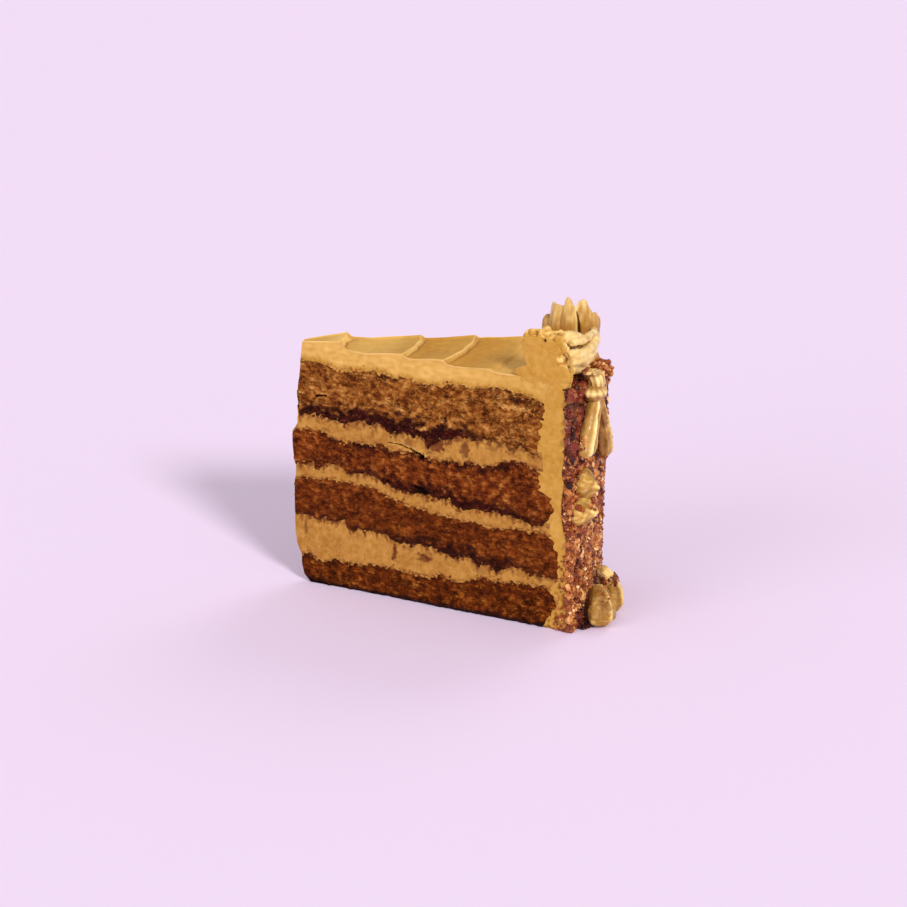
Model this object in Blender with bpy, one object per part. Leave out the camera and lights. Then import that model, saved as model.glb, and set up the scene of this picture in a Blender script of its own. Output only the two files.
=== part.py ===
"""A slice of mocha nougat layer cake: four sponge layers, three cream fillings, cream icing on the top
and the curved side, a coat of nougat crumbs, and cream piped on the rim, the side and the foot."""

import math

import bmesh
import bpy
from mathutils import Matrix, Vector, noise

# Driving dimensions, in metres and degrees. Radii are measured from the line where the two cuts meet,
# and angles from the near cut towards the far one.
SLICE_ANGLE = 30.0
CAKE_HEIGHT = 0.0980
COAT_RADIUS = 0.1236
GAP = 0.0003
TURN_STEPS = 5
COAT_STEPS = 10
COAT_ROWS = 9

# How much the layers wave and the side draws in, from nothing at the near cut to this at the far one.
WAVE_HEIGHT = 0.0016
WAVE_LENGTH = 0.075
DRAW_IN = 0.012

# Where one layer meets the next along the near cut, from the top down, as (radius, height).
MEETINGS = {
    "icing_sponge_1": ((0.004, 0.0907), (0.014, 0.0912), (0.024, 0.0896), (0.038, 0.0908), (0.050, 0.0896),
                       (0.060, 0.0893), (0.075, 0.0908), (0.092, 0.0919), (0.104, 0.0910)),
    "sponge_1_filling_1": ((0.003, 0.0690), (0.014, 0.0690), (0.024, 0.0675), (0.034, 0.0694),
                           (0.043, 0.0668), (0.053, 0.0680), (0.061, 0.0642), (0.069, 0.0682),
                           (0.084, 0.0697), (0.097, 0.0678)),
    "filling_1_sponge_2": ((0.002, 0.0606), (0.006, 0.0634), (0.014, 0.0634), (0.024, 0.0610),
                           (0.040, 0.0622), (0.056, 0.0612), (0.070, 0.0602), (0.088, 0.0612),
                           (0.099, 0.0645)),
    "sponge_2_filling_2": ((0.002, 0.0476), (0.012, 0.0486), (0.024, 0.0484), (0.036, 0.0479),
                           (0.048, 0.0442), (0.063, 0.0443), (0.075, 0.0412), (0.092, 0.0423),
                           (0.104, 0.0403)),
    "filling_2_sponge_3": ((0.002, 0.0426), (0.012, 0.0440), (0.030, 0.0445), (0.048, 0.0407),
                           (0.066, 0.0380), (0.084, 0.0370), (0.102, 0.0378)),
    "sponge_3_filling_3": ((0.001, 0.0288), (0.010, 0.0273), (0.026, 0.0262), (0.043, 0.0246),
                           (0.058, 0.0232), (0.070, 0.0216), (0.088, 0.0197), (0.099, 0.0214)),
    "filling_3_sponge_4": ((0.003, 0.0114), (0.012, 0.0117), (0.026, 0.0117), (0.042, 0.0126),
                           (0.060, 0.0121), (0.076, 0.0127), (0.086, 0.0160), (0.104, 0.0167)),
}

# The worn tip of the slice and the outer edge of its layers, as (height, radius).
TIP_EDGE = ((0.000, 0.0080), (0.003, 0.0050), (0.011, 0.0036), (0.020, 0.0018), (0.044, 0.0020),
            (0.052, 0.0016), (0.060, 0.0016), (0.067, 0.0031), (0.076, 0.0030), (0.091, 0.0050),
            (0.098, 0.0058))
LAYER_EDGE = ((0.000, 0.1115), (0.004, 0.1148), (0.010, 0.1166), (0.017, 0.1145), (0.021, 0.1155),
              (0.027, 0.1168), (0.034, 0.1160), (0.040, 0.1122), (0.047, 0.1142), (0.053, 0.1115),
              (0.060, 0.1092), (0.070, 0.1083), (0.078, 0.1096), (0.086, 0.1108), (0.091, 0.1100))

# Side of the icing, from its rounded top corner down, as (radius, height).
ICING_SIDE = ((0.1130, 0.0980), (0.1158, 0.0970), (0.1180, 0.0950), (0.1190, 0.0920), (0.1186, 0.0780),
              (0.1180, 0.0550), (0.1193, 0.0380), (0.1202, 0.0200), (0.1212, 0.0060), (0.1214, 0.0000))
# Thin lips that the spatula left on the top, as (radius, height, drop behind the lip).
SPATULA_LIPS = ((0.0225, 0.1004, 0.0029), (0.0505, 0.0995, 0.0019), (0.0690, 0.0995, 0.0017),
                (0.0895, 0.0988, 0.0009))
LIP_WIDTH = 0.0030

# Piped cream. A place is (radius, angle, height).
CROWN_PLACE = (0.1100, 29.0, 0.0985)
CROWN_PETALS = 8
CROWN_RIDGE = ((0.0, 0.0), (0.0070, 0.0002), (0.0086, 0.0035), (0.0107, 0.0070), (0.0104, 0.0125),
               (0.0082, 0.0180), (0.0056, 0.0140), (0.0028, 0.0095), (0.0, 0.0080))
CROWN_PETAL_TOPS = (-0.0060, 0.0, 0.0, -0.0080, -0.0100, -0.0040, 0.0006, -0.0004)
CROWN_GROOVE = 0.26
ROSETTE_PLACE = (0.1096, 0.0, 0.0986)
ROSETTE_FLUTES = 9
ROSETTE_RIDGE = ((0.0, 0.0), (0.0104, 0.0003), (0.0116, 0.0030), (0.0098, 0.0062), (0.0078, 0.0085),
                 (0.0086, 0.0125), (0.0070, 0.0170), (0.0040, 0.0200), (0.0, 0.0180))
ROSETTE_LEAN = -0.0022
ROSETTE_GROOVE = 0.10
ROPE_FLUTES = 5
LOWER_ROPE = {"angles": (7.0, 24.0), "radius": (0.1136, 0.1172), "height": (0.1027, 0.1016),
              "thickness": (0.0042, 0.0029), "turns": 1.0, "points": 11}
UPPER_ROPE = {"angles": (7.5, 19.0), "radius": (0.1126, 0.1156), "height": (0.1102, 0.1072),
              "thickness": (0.0031, 0.0021), "turns": 1.4, "points": 9}
PIPED_BACK = 0.1240
KNOB = {"place": (0.1250, 7.0, 0.0966), "radius": 0.0034, "height": 0.0068}
COLLAR = {"place": (0.1252, 7.0, 0.0902), "radius": 0.0046, "height": 0.0054}
LEFT_DROP = {"foot": (0.1250, 4.0, 0.0680), "head": (0.1250, 6.2, 0.0869), "radius": 0.0042}
RIGHT_DROP = {"foot": (0.1256, 11.6, 0.0634), "head": (0.1252, 9.0, 0.0869), "radius": 0.0038}
KISSES = {"kiss_upper": {"place": (PIPED_BACK, 4.0, 0.0578), "radius": 0.0050, "height": 0.0056, "lean": 4.0},
          "kiss_lower": {"place": (PIPED_BACK, 3.6, 0.0462), "radius": 0.0052, "height": 0.0060, "lean": -6.0}}
KISS_FLUTES = 6
BASE_SHELLS = {
    "base_shell_near": {"foot": (0.1296, 5.9, 0.0), "head": (0.1268, 7.5, 0.0150), "radius": 0.0049},
    "base_shell_far": {"foot": (0.1290, 12.4, 0.0), "head": (0.1272, 13.6, 0.0190), "radius": 0.0047},
}
SHELL_FLUTES = 5
NUGGET = {"place": (0.1234, 16.6, 0.0949), "radii": (0.0033, 0.0052, 0.0047), "roughness": 0.0007}

# The crumb coat steps down under the nougat cluster and on to the far cut.
COAT_TOP = 0.0945
COAT_TOP_LOW = 0.0893
COAT_LOW_ANGLES = (11.0, 31.0)
COAT_ROUGHNESS = 0.0011

MATERIALS = {
    "sponge": {"colour": (0.205, 0.060, 0.016), "roughness": 0.85},
    "cream": {"colour": (0.624, 0.345, 0.096), "roughness": 0.45},
    "nougat": {"colour": (0.235, 0.055, 0.020), "roughness": 0.55},
}


def material(name):
    """Principled material with the named look, made once."""
    found = bpy.data.materials.get(name)
    if found:
        return found
    look = MATERIALS[name]
    made = bpy.data.materials.new(name)
    made.use_nodes = True
    shader = made.node_tree.nodes["Principled BSDF"]
    shader.inputs["Base Color"].default_value = (*look["colour"], 1.0)
    shader.inputs["Roughness"].default_value = look["roughness"]
    shader.inputs["Metallic"].default_value = 0.0
    made.diffuse_color = (*look["colour"], 1.0)
    return made


def on_cake(radius, angle, height):
    """Point at a radius from the tip, an angle from the near cut and a height."""
    turn = math.radians(angle - SLICE_ANGLE / 2)
    return Vector((radius * math.cos(turn), radius * math.sin(turn), height))


def outward(angle):
    return math.radians(angle - SLICE_ANGLE / 2)


def between(stations, at):
    """Value at one place of a line through (place, value) stations, held past its ends."""
    if at <= stations[0][0]:
        return stations[0][1]
    for (start, first), (end, second) in zip(stations, stations[1:]):
        if at <= end:
            return first + (second - first) * (at - start) / (end - start)
    return stations[-1][1]


def uneven(point):
    """Moves a point of the slice as the hand-made cake differs from a turned one."""
    radius = math.hypot(point.x, point.y)
    far = (math.degrees(math.atan2(point.y, point.x)) / SLICE_ANGLE) + 0.5
    inside = math.sin(math.pi * max(0.0, min(1.0, point.z / CAKE_HEIGHT)))
    wave = WAVE_HEIGHT * far * inside * math.sin(math.tau * radius / WAVE_LENGTH + 0.8)
    draw = 1.0 - DRAW_IN * far * max(0.0, 1.0 - point.z / CAKE_HEIGHT)
    return Vector((point.x * draw, point.y * draw, point.z + wave))


def finish(name, bm, paint, parts, frame):
    """Turns a bmesh into a named object of the slice, in its material and under the frame empty."""
    bmesh.ops.recalc_face_normals(bm, faces=bm.faces)
    mesh = bpy.data.meshes.new(name)
    bm.to_mesh(mesh)
    bm.free()
    mesh.materials.append(material(paint))
    mesh.shade_smooth()
    mesh.set_sharp_from_angle(angle=math.radians(40))
    piece = bpy.data.objects.new(name, mesh)
    parts.objects.link(piece)
    piece.parent = frame
    return piece


def turned_wedge(outline, steps):
    """Closed (radius, height) outline spun through the slice's angle."""
    bm = bmesh.new()
    face = bm.faces.new([bm.verts.new(on_cake(radius, 0.0, height)) for radius, height in outline])
    bmesh.ops.spin(bm, geom=[face, *face.edges, *face.verts], cent=(0, 0, 0), axis=(0, 0, 1),
                   angle=math.radians(SLICE_ANGLE), steps=steps, use_duplicate=False)
    return bm


def meeting_line(name, lift):
    """A layer boundary moved up or down by lift, run out to the tip and to the layers' edge."""
    stations = MEETINGS[name]
    first, last = stations[0][1] + lift, stations[-1][1] + lift
    tip = between(TIP_EDGE, first)
    edge = between(LAYER_EDGE, last)
    inner = [(radius, height + lift) for radius, height in stations if tip + 0.002 < radius < edge - 0.002]
    return [(tip, first), *inner, (edge, last)]


def side_points(stations, low, high):
    """Points of a (height, radius) line strictly between two heights, from the lower up."""
    margin = 0.0012
    return [(radius, height) for height, radius in stations if low + margin < height < high - margin]


def layer(name, upper, lower, paint, parts, frame):
    """One layer of the cake, from the meeting below it to the meeting above it."""
    top = meeting_line(upper, -GAP / 2)
    if lower:
        bottom = meeting_line(lower, GAP / 2)
    else:
        bottom = [(between(TIP_EDGE, 0.0), 0.0), (between(LAYER_EDGE, 0.0), 0.0)]
    outer = side_points(LAYER_EDGE, bottom[-1][1], top[-1][1])
    tip = side_points(TIP_EDGE, bottom[0][1], top[0][1])
    bm = turned_wedge([*bottom, *outer, *reversed(top), *reversed(tip)], TURN_STEPS)
    for vertex in bm.verts:
        vertex.co = uneven(vertex.co)
    return finish(name, bm, paint, parts, frame)


def icing_top():
    """Top of the icing from tip to rim: it rises to each spatula lip and drops behind it."""
    points = [(between(TIP_EDGE, CAKE_HEIGHT), CAKE_HEIGHT)]
    for radius, height, drop in SPATULA_LIPS:
        points.append((radius - LIP_WIDTH, height - drop / 4))
        points.append((radius, height))
        points.append((radius + LIP_WIDTH / 3, height - drop * 0.8))
        points.append((radius + LIP_WIDTH, height - drop))
    return points


def icing(parts, frame):
    """Icing over the top and down the curved side, in one piece."""
    under = meeting_line("icing_sponge_1", GAP / 2)
    wall = [(radius + GAP, height) for height, radius in LAYER_EDGE if height < under[-1][1] - 0.001]
    under[-1] = (under[-1][0] + GAP, under[-1][1])
    bm = turned_wedge([*icing_top(), *ICING_SIDE, *wall, *reversed(under)], TURN_STEPS)
    for vertex in bm.verts:
        vertex.co = uneven(vertex.co)
    return finish("icing", bm, "cream", parts, frame)


def crumb_coat(parts, frame):
    """Coat of nougat crumbs on the curved side, out to its uneven face."""
    inner = [(radius + GAP, height) for radius, height in ICING_SIDE if height < COAT_TOP - 0.001]
    outer = [(COAT_RADIUS - COAT_ROUGHNESS, COAT_TOP * row / COAT_ROWS) for row in range(COAT_ROWS + 1)]
    top = between([(height, radius + GAP) for radius, height in reversed(ICING_SIDE)], COAT_TOP)
    bm = turned_wedge([(top, COAT_TOP), *inner, *outer], COAT_STEPS)
    start, end = COAT_LOW_ANGLES
    widest = max(radius for radius, height in ICING_SIDE if height > COAT_TOP_LOW)
    for vertex in bm.verts:
        place = vertex.co.copy()
        angle = math.degrees(math.atan2(place.y, place.x)) + SLICE_ANGLE / 2
        radius = math.hypot(place.x, place.y)
        if radius > COAT_RADIUS - COAT_ROUGHNESS - 0.0001:
            swell = COAT_ROUGHNESS * noise.noise(place * 95.0)
            place.xy *= (radius + swell) / radius
        if place.z > COAT_TOP_LOW and start < angle < end:
            place.z = COAT_TOP_LOW + (place.z - COAT_TOP_LOW) * 0.1
            place.xy *= max(1.0, (widest + GAP) / radius)
        vertex.co = uneven(place)
    return finish("crumb_coat", bm, "nougat", parts, frame)


def piped_ball(around, up, shape):
    """Sphere reshaped point by point: shape takes the share of the way from its foot to its top, and the
    angle round it."""
    bm = bmesh.new()
    bmesh.ops.create_uvsphere(bm, u_segments=around, v_segments=up, radius=1.0)
    for vertex in bm.verts:
        along = math.acos(max(-1.0, min(1.0, -vertex.co.z))) / math.pi
        vertex.co = shape(along, math.atan2(vertex.co.y, vertex.co.x))
    return bm


def turned_shape(ridge, flutes, groove, tops=None, lean=0.0):
    """Shape of a fluted puff of cream whose ridges follow the (radius, height) line."""
    last = len(ridge) - 1
    radii = [(index / last, radius) for index, (radius, _) in enumerate(ridge)]
    heights = [(index / last, height) for index, (_, height) in enumerate(ridge)]
    top = max(height for _, height in ridge)

    def shape(along, angle):
        wave = (1 - math.cos(flutes * angle)) / 2
        height = between(heights, along)
        radius = between(radii, along) * (1 - groove * wave)
        if tops:
            petal = round(flutes * angle / math.tau) % flutes
            height += (tops[petal] - 0.0055 * wave) * max(0.0, height / top - 0.4)
        shift = lean * min(1.0, height / top)
        return Vector((radius * math.cos(angle) + shift, radius * math.sin(angle), height))

    return shape


def cut_flat(bm, angle, keep):
    """Slices a piece flat along the cut at this angle, as the knife did, and closes it."""
    across = Vector((-math.sin(outward(angle)), math.cos(outward(angle)), 0.0)) * keep
    geometry = [*bm.verts, *bm.edges, *bm.faces]
    cut = bmesh.ops.bisect_plane(bm, geom=geometry, plane_co=(0, 0, 0), plane_no=-across, clear_outer=True)
    edges = [item for item in cut["geom_cut"] if isinstance(item, bmesh.types.BMEdge)]
    bmesh.ops.edgeloop_fill(bm, edges=edges)


def rim_puffs(parts, frame):
    """The two star-piped puffs on the rim. Each is cut where the slice's flat sides pass through it."""
    crown = piped_ball(CROWN_PETALS * 4, 8, turned_shape(CROWN_RIDGE, CROWN_PETALS, CROWN_GROOVE,
                                                         tops=CROWN_PETAL_TOPS))
    bmesh.ops.transform(crown, matrix=Matrix.Translation(on_cake(*CROWN_PLACE)), verts=crown.verts)
    cut_flat(crown, SLICE_ANGLE, -1)
    finish("crown", crown, "cream", parts, frame)
    rosette = piped_ball(ROSETTE_FLUTES * 3, 9, turned_shape(ROSETTE_RIDGE, ROSETTE_FLUTES, ROSETTE_GROOVE,
                                                             lean=ROSETTE_LEAN))
    place = Matrix.Translation(on_cake(*ROSETTE_PLACE)) @ Matrix.Rotation(outward(0.0), 4, "Z")
    bmesh.ops.transform(rosette, matrix=place, verts=rosette.verts)
    cut_flat(rosette, 0.0, 1)
    finish("rosette", rosette, "cream", parts, frame)


def star_section(guides, frame):
    """Fluted section of a piped rope, of radius 1, used as a bevel shape."""
    line = bpy.data.curves.new("rope_section", "CURVE")
    line.dimensions = "2D"
    spline = line.splines.new("POLY")
    count = ROPE_FLUTES * 2
    spline.points.add(count - 1)
    for index, point in enumerate(spline.points):
        reach = 1.0 if index % 2 == 0 else 0.78
        angle = -math.tau * index / count
        point.co = (reach * math.cos(angle), reach * math.sin(angle), 0.0, 1.0)
    spline.use_cyclic_u = True
    section = bpy.data.objects.new("rope_section", line)
    section.hide_render = True
    section.display_type = "WIRE"
    guides.objects.link(section)
    section.parent = frame
    return section


def rope(name, size, section, parts, frame):
    """Twisted fluted rope of cream along the rim, thin at both ends."""
    line = bpy.data.curves.new(name, "CURVE")
    line.dimensions = "3D"
    line.bevel_mode = "OBJECT"
    line.bevel_object = section
    line.use_fill_caps = True
    spline = line.splines.new("POLY")
    spline.points.add(size["points"] - 1)
    for index, point in enumerate(spline.points):
        along = index / (size["points"] - 1)
        angle, radius, height, thickness = (
            first + (second - first) * along
            for first, second in (size["angles"], size["radius"], size["height"], size["thickness"]))
        point.co = (*on_cake(radius, angle, height), 1.0)
        point.radius = thickness * min(1.0, 0.45 + 3.0 * along, 0.5 + 3.0 * (1 - along))
        point.tilt = math.tau * size["turns"] * along
    line.materials.append(material("cream"))
    piece = bpy.data.objects.new(name, line)
    parts.objects.link(piece)
    piece.parent = frame
    return piece


def against_side(point):
    """Keeps a piece that is pressed on the side from going into the coat."""
    radius = math.hypot(point.x, point.y)
    if radius < PIPED_BACK:
        point.xy *= PIPED_BACK / radius
    return point


def hanging_lump(name, size, parts, frame):
    """Round lump of the hanging motif, pressed flat on its side towards the cake."""
    def shape(along, angle):
        radius = size["radius"] * max(0.0, math.sin(math.pi * along)) ** 0.7
        height = -math.cos(math.pi * along) * size["height"] / 2
        return Vector((radius * math.cos(angle), radius * math.sin(angle), height))

    bm = piped_ball(10, 6, shape)
    centre = on_cake(*size["place"])
    for vertex in bm.verts:
        vertex.co = against_side(vertex.co + centre)
    return finish(name, bm, "cream", parts, frame)


def drop(name, size, flutes, pressed, parts, frame):
    """Drop of cream, fat at its foot and drawn out to its head."""
    foot, head = on_cake(*size["foot"]), on_cake(*size["head"])
    groove = 0.14 if flutes else 0.0

    def shape(along, angle):
        swell = max(0.0, math.sin(math.pi * along)) ** 0.55 * (1.2 - 0.85 * along)
        radius = size["radius"] * swell * (1 - groove * (1 - math.cos(flutes * angle)) / 2)
        centre = foot.lerp(head, (1 - math.cos(math.pi * along)) / 2)
        return centre + Vector((radius * math.cos(angle), radius * math.sin(angle), 0.0))

    bm = piped_ball(2 * flutes or 10, 8, shape)
    if pressed:
        for vertex in bm.verts:
            vertex.co = against_side(vertex.co)
    return finish(name, bm, "cream", parts, frame)


def kiss(name, size, parts, frame):
    """Small star kiss on the side, pointing outward."""
    radius, height = size["radius"], size["height"]
    ridge = ((0.0, 0.0), (radius * 0.85, 0.0002), (radius, height * 0.22), (radius * 0.66, height * 0.5),
             (radius * 0.25, height * 0.8), (0.0, height))
    bm = piped_ball(KISS_FLUTES * 2, 5, turned_shape(ridge, KISS_FLUTES, 0.22))
    angle = size["place"][1]
    turn = Matrix.Rotation(outward(angle), 4, "Z") @ Matrix.Rotation(math.radians(90 + size["lean"]), 4, "Y")
    bmesh.ops.transform(bm, matrix=Matrix.Translation(on_cake(*size["place"])) @ turn, verts=bm.verts)
    for vertex in bm.verts:
        vertex.co = against_side(vertex.co)
    return finish(name, bm, "cream", parts, frame)


def nougat_cluster(parts, frame):
    """Lump of nougat crumbs stuck together under the rim."""
    bm = bmesh.new()
    bmesh.ops.create_icosphere(bm, subdivisions=2, radius=1.0)
    turn = Matrix.Rotation(outward(NUGGET["place"][1]), 3, "Z")
    centre = on_cake(*NUGGET["place"])
    for vertex in bm.verts:
        unit = vertex.co.copy()
        swell = 1.0 + 4 * NUGGET["roughness"] / NUGGET["radii"][1] * noise.noise(unit * 2.3)
        sized = Vector(side * reach * swell for side, reach in zip(unit, NUGGET["radii"]))
        vertex.co = centre + turn @ sized
    return finish("nougat_cluster", bm, "nougat", parts, frame)


def stand_at_origin(parts, frame):
    """Moves the frame empty so that the slice stands on the origin by the middle of its underside."""
    bpy.context.view_layer.update()
    graph = bpy.context.evaluated_depsgraph_get()
    corners = [piece.matrix_world @ Vector(corner)
               for piece in (item.evaluated_get(graph) for item in parts.objects if item.type != "EMPTY")
               for corner in piece.bound_box]
    low = Vector(min(corner[axis] for corner in corners) for axis in range(3))
    high = Vector(max(corner[axis] for corner in corners) for axis in range(3))
    frame.location = (-(low.x + high.x) / 2, -(low.y + high.y) / 2, -low.z)


def main():
    for old in list(bpy.data.objects):
        bpy.data.objects.remove(old, do_unlink=True)
    parts = bpy.data.collections.new("cake_slice")
    guides = bpy.data.collections.new("guides")
    bpy.context.scene.collection.children.link(parts)
    bpy.context.scene.collection.children.link(guides)
    frame = bpy.data.objects.new("slice_frame", None)
    parts.objects.link(frame)

    layer("sponge_1", "icing_sponge_1", "sponge_1_filling_1", "sponge", parts, frame)
    layer("filling_1", "sponge_1_filling_1", "filling_1_sponge_2", "cream", parts, frame)
    layer("sponge_2", "filling_1_sponge_2", "sponge_2_filling_2", "sponge", parts, frame)
    layer("filling_2", "sponge_2_filling_2", "filling_2_sponge_3", "cream", parts, frame)
    layer("sponge_3", "filling_2_sponge_3", "sponge_3_filling_3", "sponge", parts, frame)
    layer("filling_3", "sponge_3_filling_3", "filling_3_sponge_4", "cream", parts, frame)
    layer("sponge_4", "filling_3_sponge_4", None, "sponge", parts, frame)
    icing(parts, frame)
    crumb_coat(parts, frame)
    rim_puffs(parts, frame)
    section = star_section(guides, frame)
    rope("rim_rope_lower", LOWER_ROPE, section, parts, frame)
    rope("rim_rope_upper", UPPER_ROPE, section, parts, frame)
    hanging_lump("hanging_knob", KNOB, parts, frame)
    hanging_lump("hanging_collar", COLLAR, parts, frame)
    drop("hanging_drop_left", LEFT_DROP, 0, True, parts, frame)
    drop("hanging_drop_right", RIGHT_DROP, 0, True, parts, frame)
    for name, size in KISSES.items():
        kiss(name, size, parts, frame)
    for name, size in BASE_SHELLS.items():
        drop(name, size, SHELL_FLUTES, False, parts, frame)
    nougat_cluster(parts, frame)
    stand_at_origin(parts, frame)


main()
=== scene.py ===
import math

import bpy
import numpy as np
from mathutils import Matrix, Vector, noise


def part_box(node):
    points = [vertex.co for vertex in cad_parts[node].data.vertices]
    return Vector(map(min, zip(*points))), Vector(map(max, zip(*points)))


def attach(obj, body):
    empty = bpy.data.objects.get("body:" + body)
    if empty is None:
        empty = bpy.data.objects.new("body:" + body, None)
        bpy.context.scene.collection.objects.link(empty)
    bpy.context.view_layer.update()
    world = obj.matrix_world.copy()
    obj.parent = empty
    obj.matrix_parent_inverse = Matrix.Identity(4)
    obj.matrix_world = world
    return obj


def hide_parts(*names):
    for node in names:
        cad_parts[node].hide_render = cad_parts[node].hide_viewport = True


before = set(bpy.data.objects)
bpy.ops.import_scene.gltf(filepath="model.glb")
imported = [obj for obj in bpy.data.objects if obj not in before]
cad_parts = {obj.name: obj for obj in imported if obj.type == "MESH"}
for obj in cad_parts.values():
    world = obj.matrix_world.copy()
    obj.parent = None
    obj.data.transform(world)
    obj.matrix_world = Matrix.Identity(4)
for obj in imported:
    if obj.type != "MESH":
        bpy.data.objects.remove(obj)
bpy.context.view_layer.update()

# Sizes below are in millimetres and degrees unless a note says otherwise. A place on the cake is a radius
# from the line where the two cuts meet, a turn from the near cut towards the far one, and a height.
mm = 0.001
sliceTurn = 30.0
cakeHeight = 98.0
halfTurn = math.radians(sliceTurn / 2)
layerLow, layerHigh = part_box("sponge_2")
tipX = layerLow.x - 1.6 * mm * math.cos(halfTurn)
tipY = layerLow.y + 114.2 * mm * math.sin(halfTurn)
unevenCake = {"wave": 1.6, "waveLength": 75.0, "drawIn": 0.012}


# places on the cake
def toScene(radius, turn, height):
    radius, turn, height = np.broadcast_arrays(radius, turn, height)
    angle = np.radians(turn) - halfTurn
    return np.stack([tipX + radius * np.cos(angle) * mm, tipY + radius * np.sin(angle) * mm, height * mm], axis=1)


def toCake(points):
    x, y = (points[:, 0] - tipX) / mm, (points[:, 1] - tipY) / mm
    return np.hypot(x, y), np.degrees(np.arctan2(y, x) + halfTurn), points[:, 2] / mm


def cakePlace(point):
    return tuple(float(axis[0]) for axis in toCake(np.array([point])))


def onCake(radius, turn, height):
    return Vector(toScene(np.array([radius]), np.array([turn]), np.array([height]))[0])


def outwardAt(turn):
    angle = math.radians(turn) - halfTurn
    return Vector((math.cos(angle), math.sin(angle), 0.0))


# the slices drift out of level towards the far cut, as in a layer cake stacked by hand
def handMade(radius, turn, height):
    far = np.clip(turn / sliceTurn, -0.1, 1.1)
    inside = np.sin(np.pi * np.clip(height / cakeHeight, 0, 1))
    wave = unevenCake["wave"] * far * inside * np.sin(math.tau * radius / unevenCake["waveLength"] + 0.8)
    draw = 1 - unevenCake["drawIn"] * far * np.clip(1 - height / cakeHeight, 0, None)
    return radius * draw, turn, height + wave


def noiseAt(*axes, seed=0.0):
    axes = [np.ravel(axis) for axis in np.broadcast_arrays(*axes)]
    while len(axes) < 2:
        axes.append(np.zeros_like(axes[0]))
    if len(axes) < 3:
        axes.append(np.full_like(axes[0], seed))
        return np.array([noise.noise(place) for place in zip(*axes)])
    return np.array([noise.noise((x + seed, y, z)) for x, y, z in zip(*axes)])


def smooth(value, start, end):
    share = np.clip((value - start) / (end - start), 0, 1)
    return share * share * (3 - 2 * share)


def line(stations, at, column=1):
    rows = np.array(stations, dtype=float)
    return np.interp(at, rows[:, 0], rows[:, column])


# working with meshes
def startFresh():
    if bpy.context.object and bpy.context.object.mode != "OBJECT":
        bpy.ops.object.mode_set(mode="OBJECT")
    bpy.ops.object.select_all(action="DESELECT")


def pointsOf(piece):
    points = np.empty(len(piece.data.vertices) * 3, np.float32)
    piece.data.vertices.foreach_get("co", points)
    return points.reshape(-1, 3).astype(float)


def movePoints(piece, points):
    piece.data.vertices.foreach_set("co", points.astype(np.float32).ravel())
    piece.data.update()


def setValues(piece, name, values):
    made = piece.data.attributes.get(name) or piece.data.attributes.new(name, "FLOAT", "POINT")
    made.data.foreach_set("value", np.asarray(values, np.float32))


def getValues(piece, name):
    values = np.empty(len(piece.data.vertices), np.float32)
    piece.data.attributes[name].data.foreach_get("value", values)
    return values.astype(float)


def applyAll(piece):
    startFresh()
    piece.select_set(True)
    bpy.context.view_layer.objects.active = piece
    for modifier in list(piece.modifiers):
        bpy.ops.object.modifier_apply(modifier=modifier.name)


def smoothShade(piece, angle=60):
    startFresh()
    piece.select_set(True)
    bpy.context.view_layer.objects.active = piece
    bpy.ops.object.shade_smooth_by_angle(angle=math.radians(angle))


def finishPiece(piece, paint, slot, *nodes):
    piece.data.materials.clear()
    piece.data.materials.append(paint)
    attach(piece, "root")
    if nodes:
        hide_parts(*nodes)


def groupPoints(piece, name, weights):
    group = piece.vertex_groups.new(name=name)
    steps = np.round(np.clip(weights, 0, 1) * 20).astype(int)
    for step in range(1, 21):
        chosen = np.flatnonzero(steps == step)
        if len(chosen):
            group.add(chosen.tolist(), step / 20, "REPLACE")
    return group.name


def roughen(piece, kind, size, depth, group="", middle=0.5, **settings):
    texture = bpy.data.textures.new(f"{piece.name}{kind.title()}", kind)
    texture.noise_scale = size * mm
    for key, value in settings.items():
        setattr(texture, key, value)
    modifier = piece.modifiers.new(texture.name, "DISPLACE")
    modifier.texture = texture
    modifier.texture_coords = "LOCAL"
    modifier.mid_level = middle
    modifier.strength = depth * mm
    if group:
        modifier.vertex_group = group


# materials
def colour(red, green, blue):
    values = [channel / 255 for channel in (red, green, blue)]
    return (*[value / 12.92 if value <= 0.04045 else ((value + 0.055) / 1.055) ** 2.4 for value in values], 1.0)


def addNode(tree, kind, inputs=None, **settings):
    node = tree.nodes.new(kind)
    for key, value in settings.items():
        setattr(node, key, value)
    for key, value in (inputs or {}).items():
        if isinstance(value, bpy.types.NodeSocket):
            tree.links.new(value, node.inputs[key])
        else:
            node.inputs[key].default_value = value
    return node


def ramp(tree, factor, stops):
    node = addNode(tree, "ShaderNodeValToRGB", {"Fac": factor})
    elements = node.color_ramp.elements
    while len(elements) < len(stops):
        elements.new(0.5)
    for element, (place, tint) in zip(elements, stops):
        element.position = place
        element.color = tint
    return node.outputs["Color"]


def mathOf(tree, operation, first, second=0.0, clamp=False):
    return addNode(tree, "ShaderNodeMath", {0: first, 1: second}, operation=operation,
                   use_clamp=clamp).outputs[0]


def spread(tree, value, low, high, toLow=0.0, toHigh=1.0):
    return addNode(tree, "ShaderNodeMapRange", {"Value": value, "From Min": low, "From Max": high,
                                                "To Min": toLow, "To Max": toHigh}).outputs["Result"]


def blendOf(tree, factor, first, second, blend="MIX"):
    return addNode(tree, "ShaderNodeMix", {0: factor, 6: first, 7: second}, data_type="RGBA",
                   blend_type=blend).outputs[2]


def noiseOf(tree, place, scale, detail=4.0, roughness=0.55):
    return addNode(tree, "ShaderNodeTexNoise", {"Vector": place, "Scale": scale, "Detail": detail,
                                                "Roughness": roughness}).outputs["Fac"]


def attributeOf(tree, name):
    return addNode(tree, "ShaderNodeAttribute", attribute_name=name).outputs["Fac"]


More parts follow.
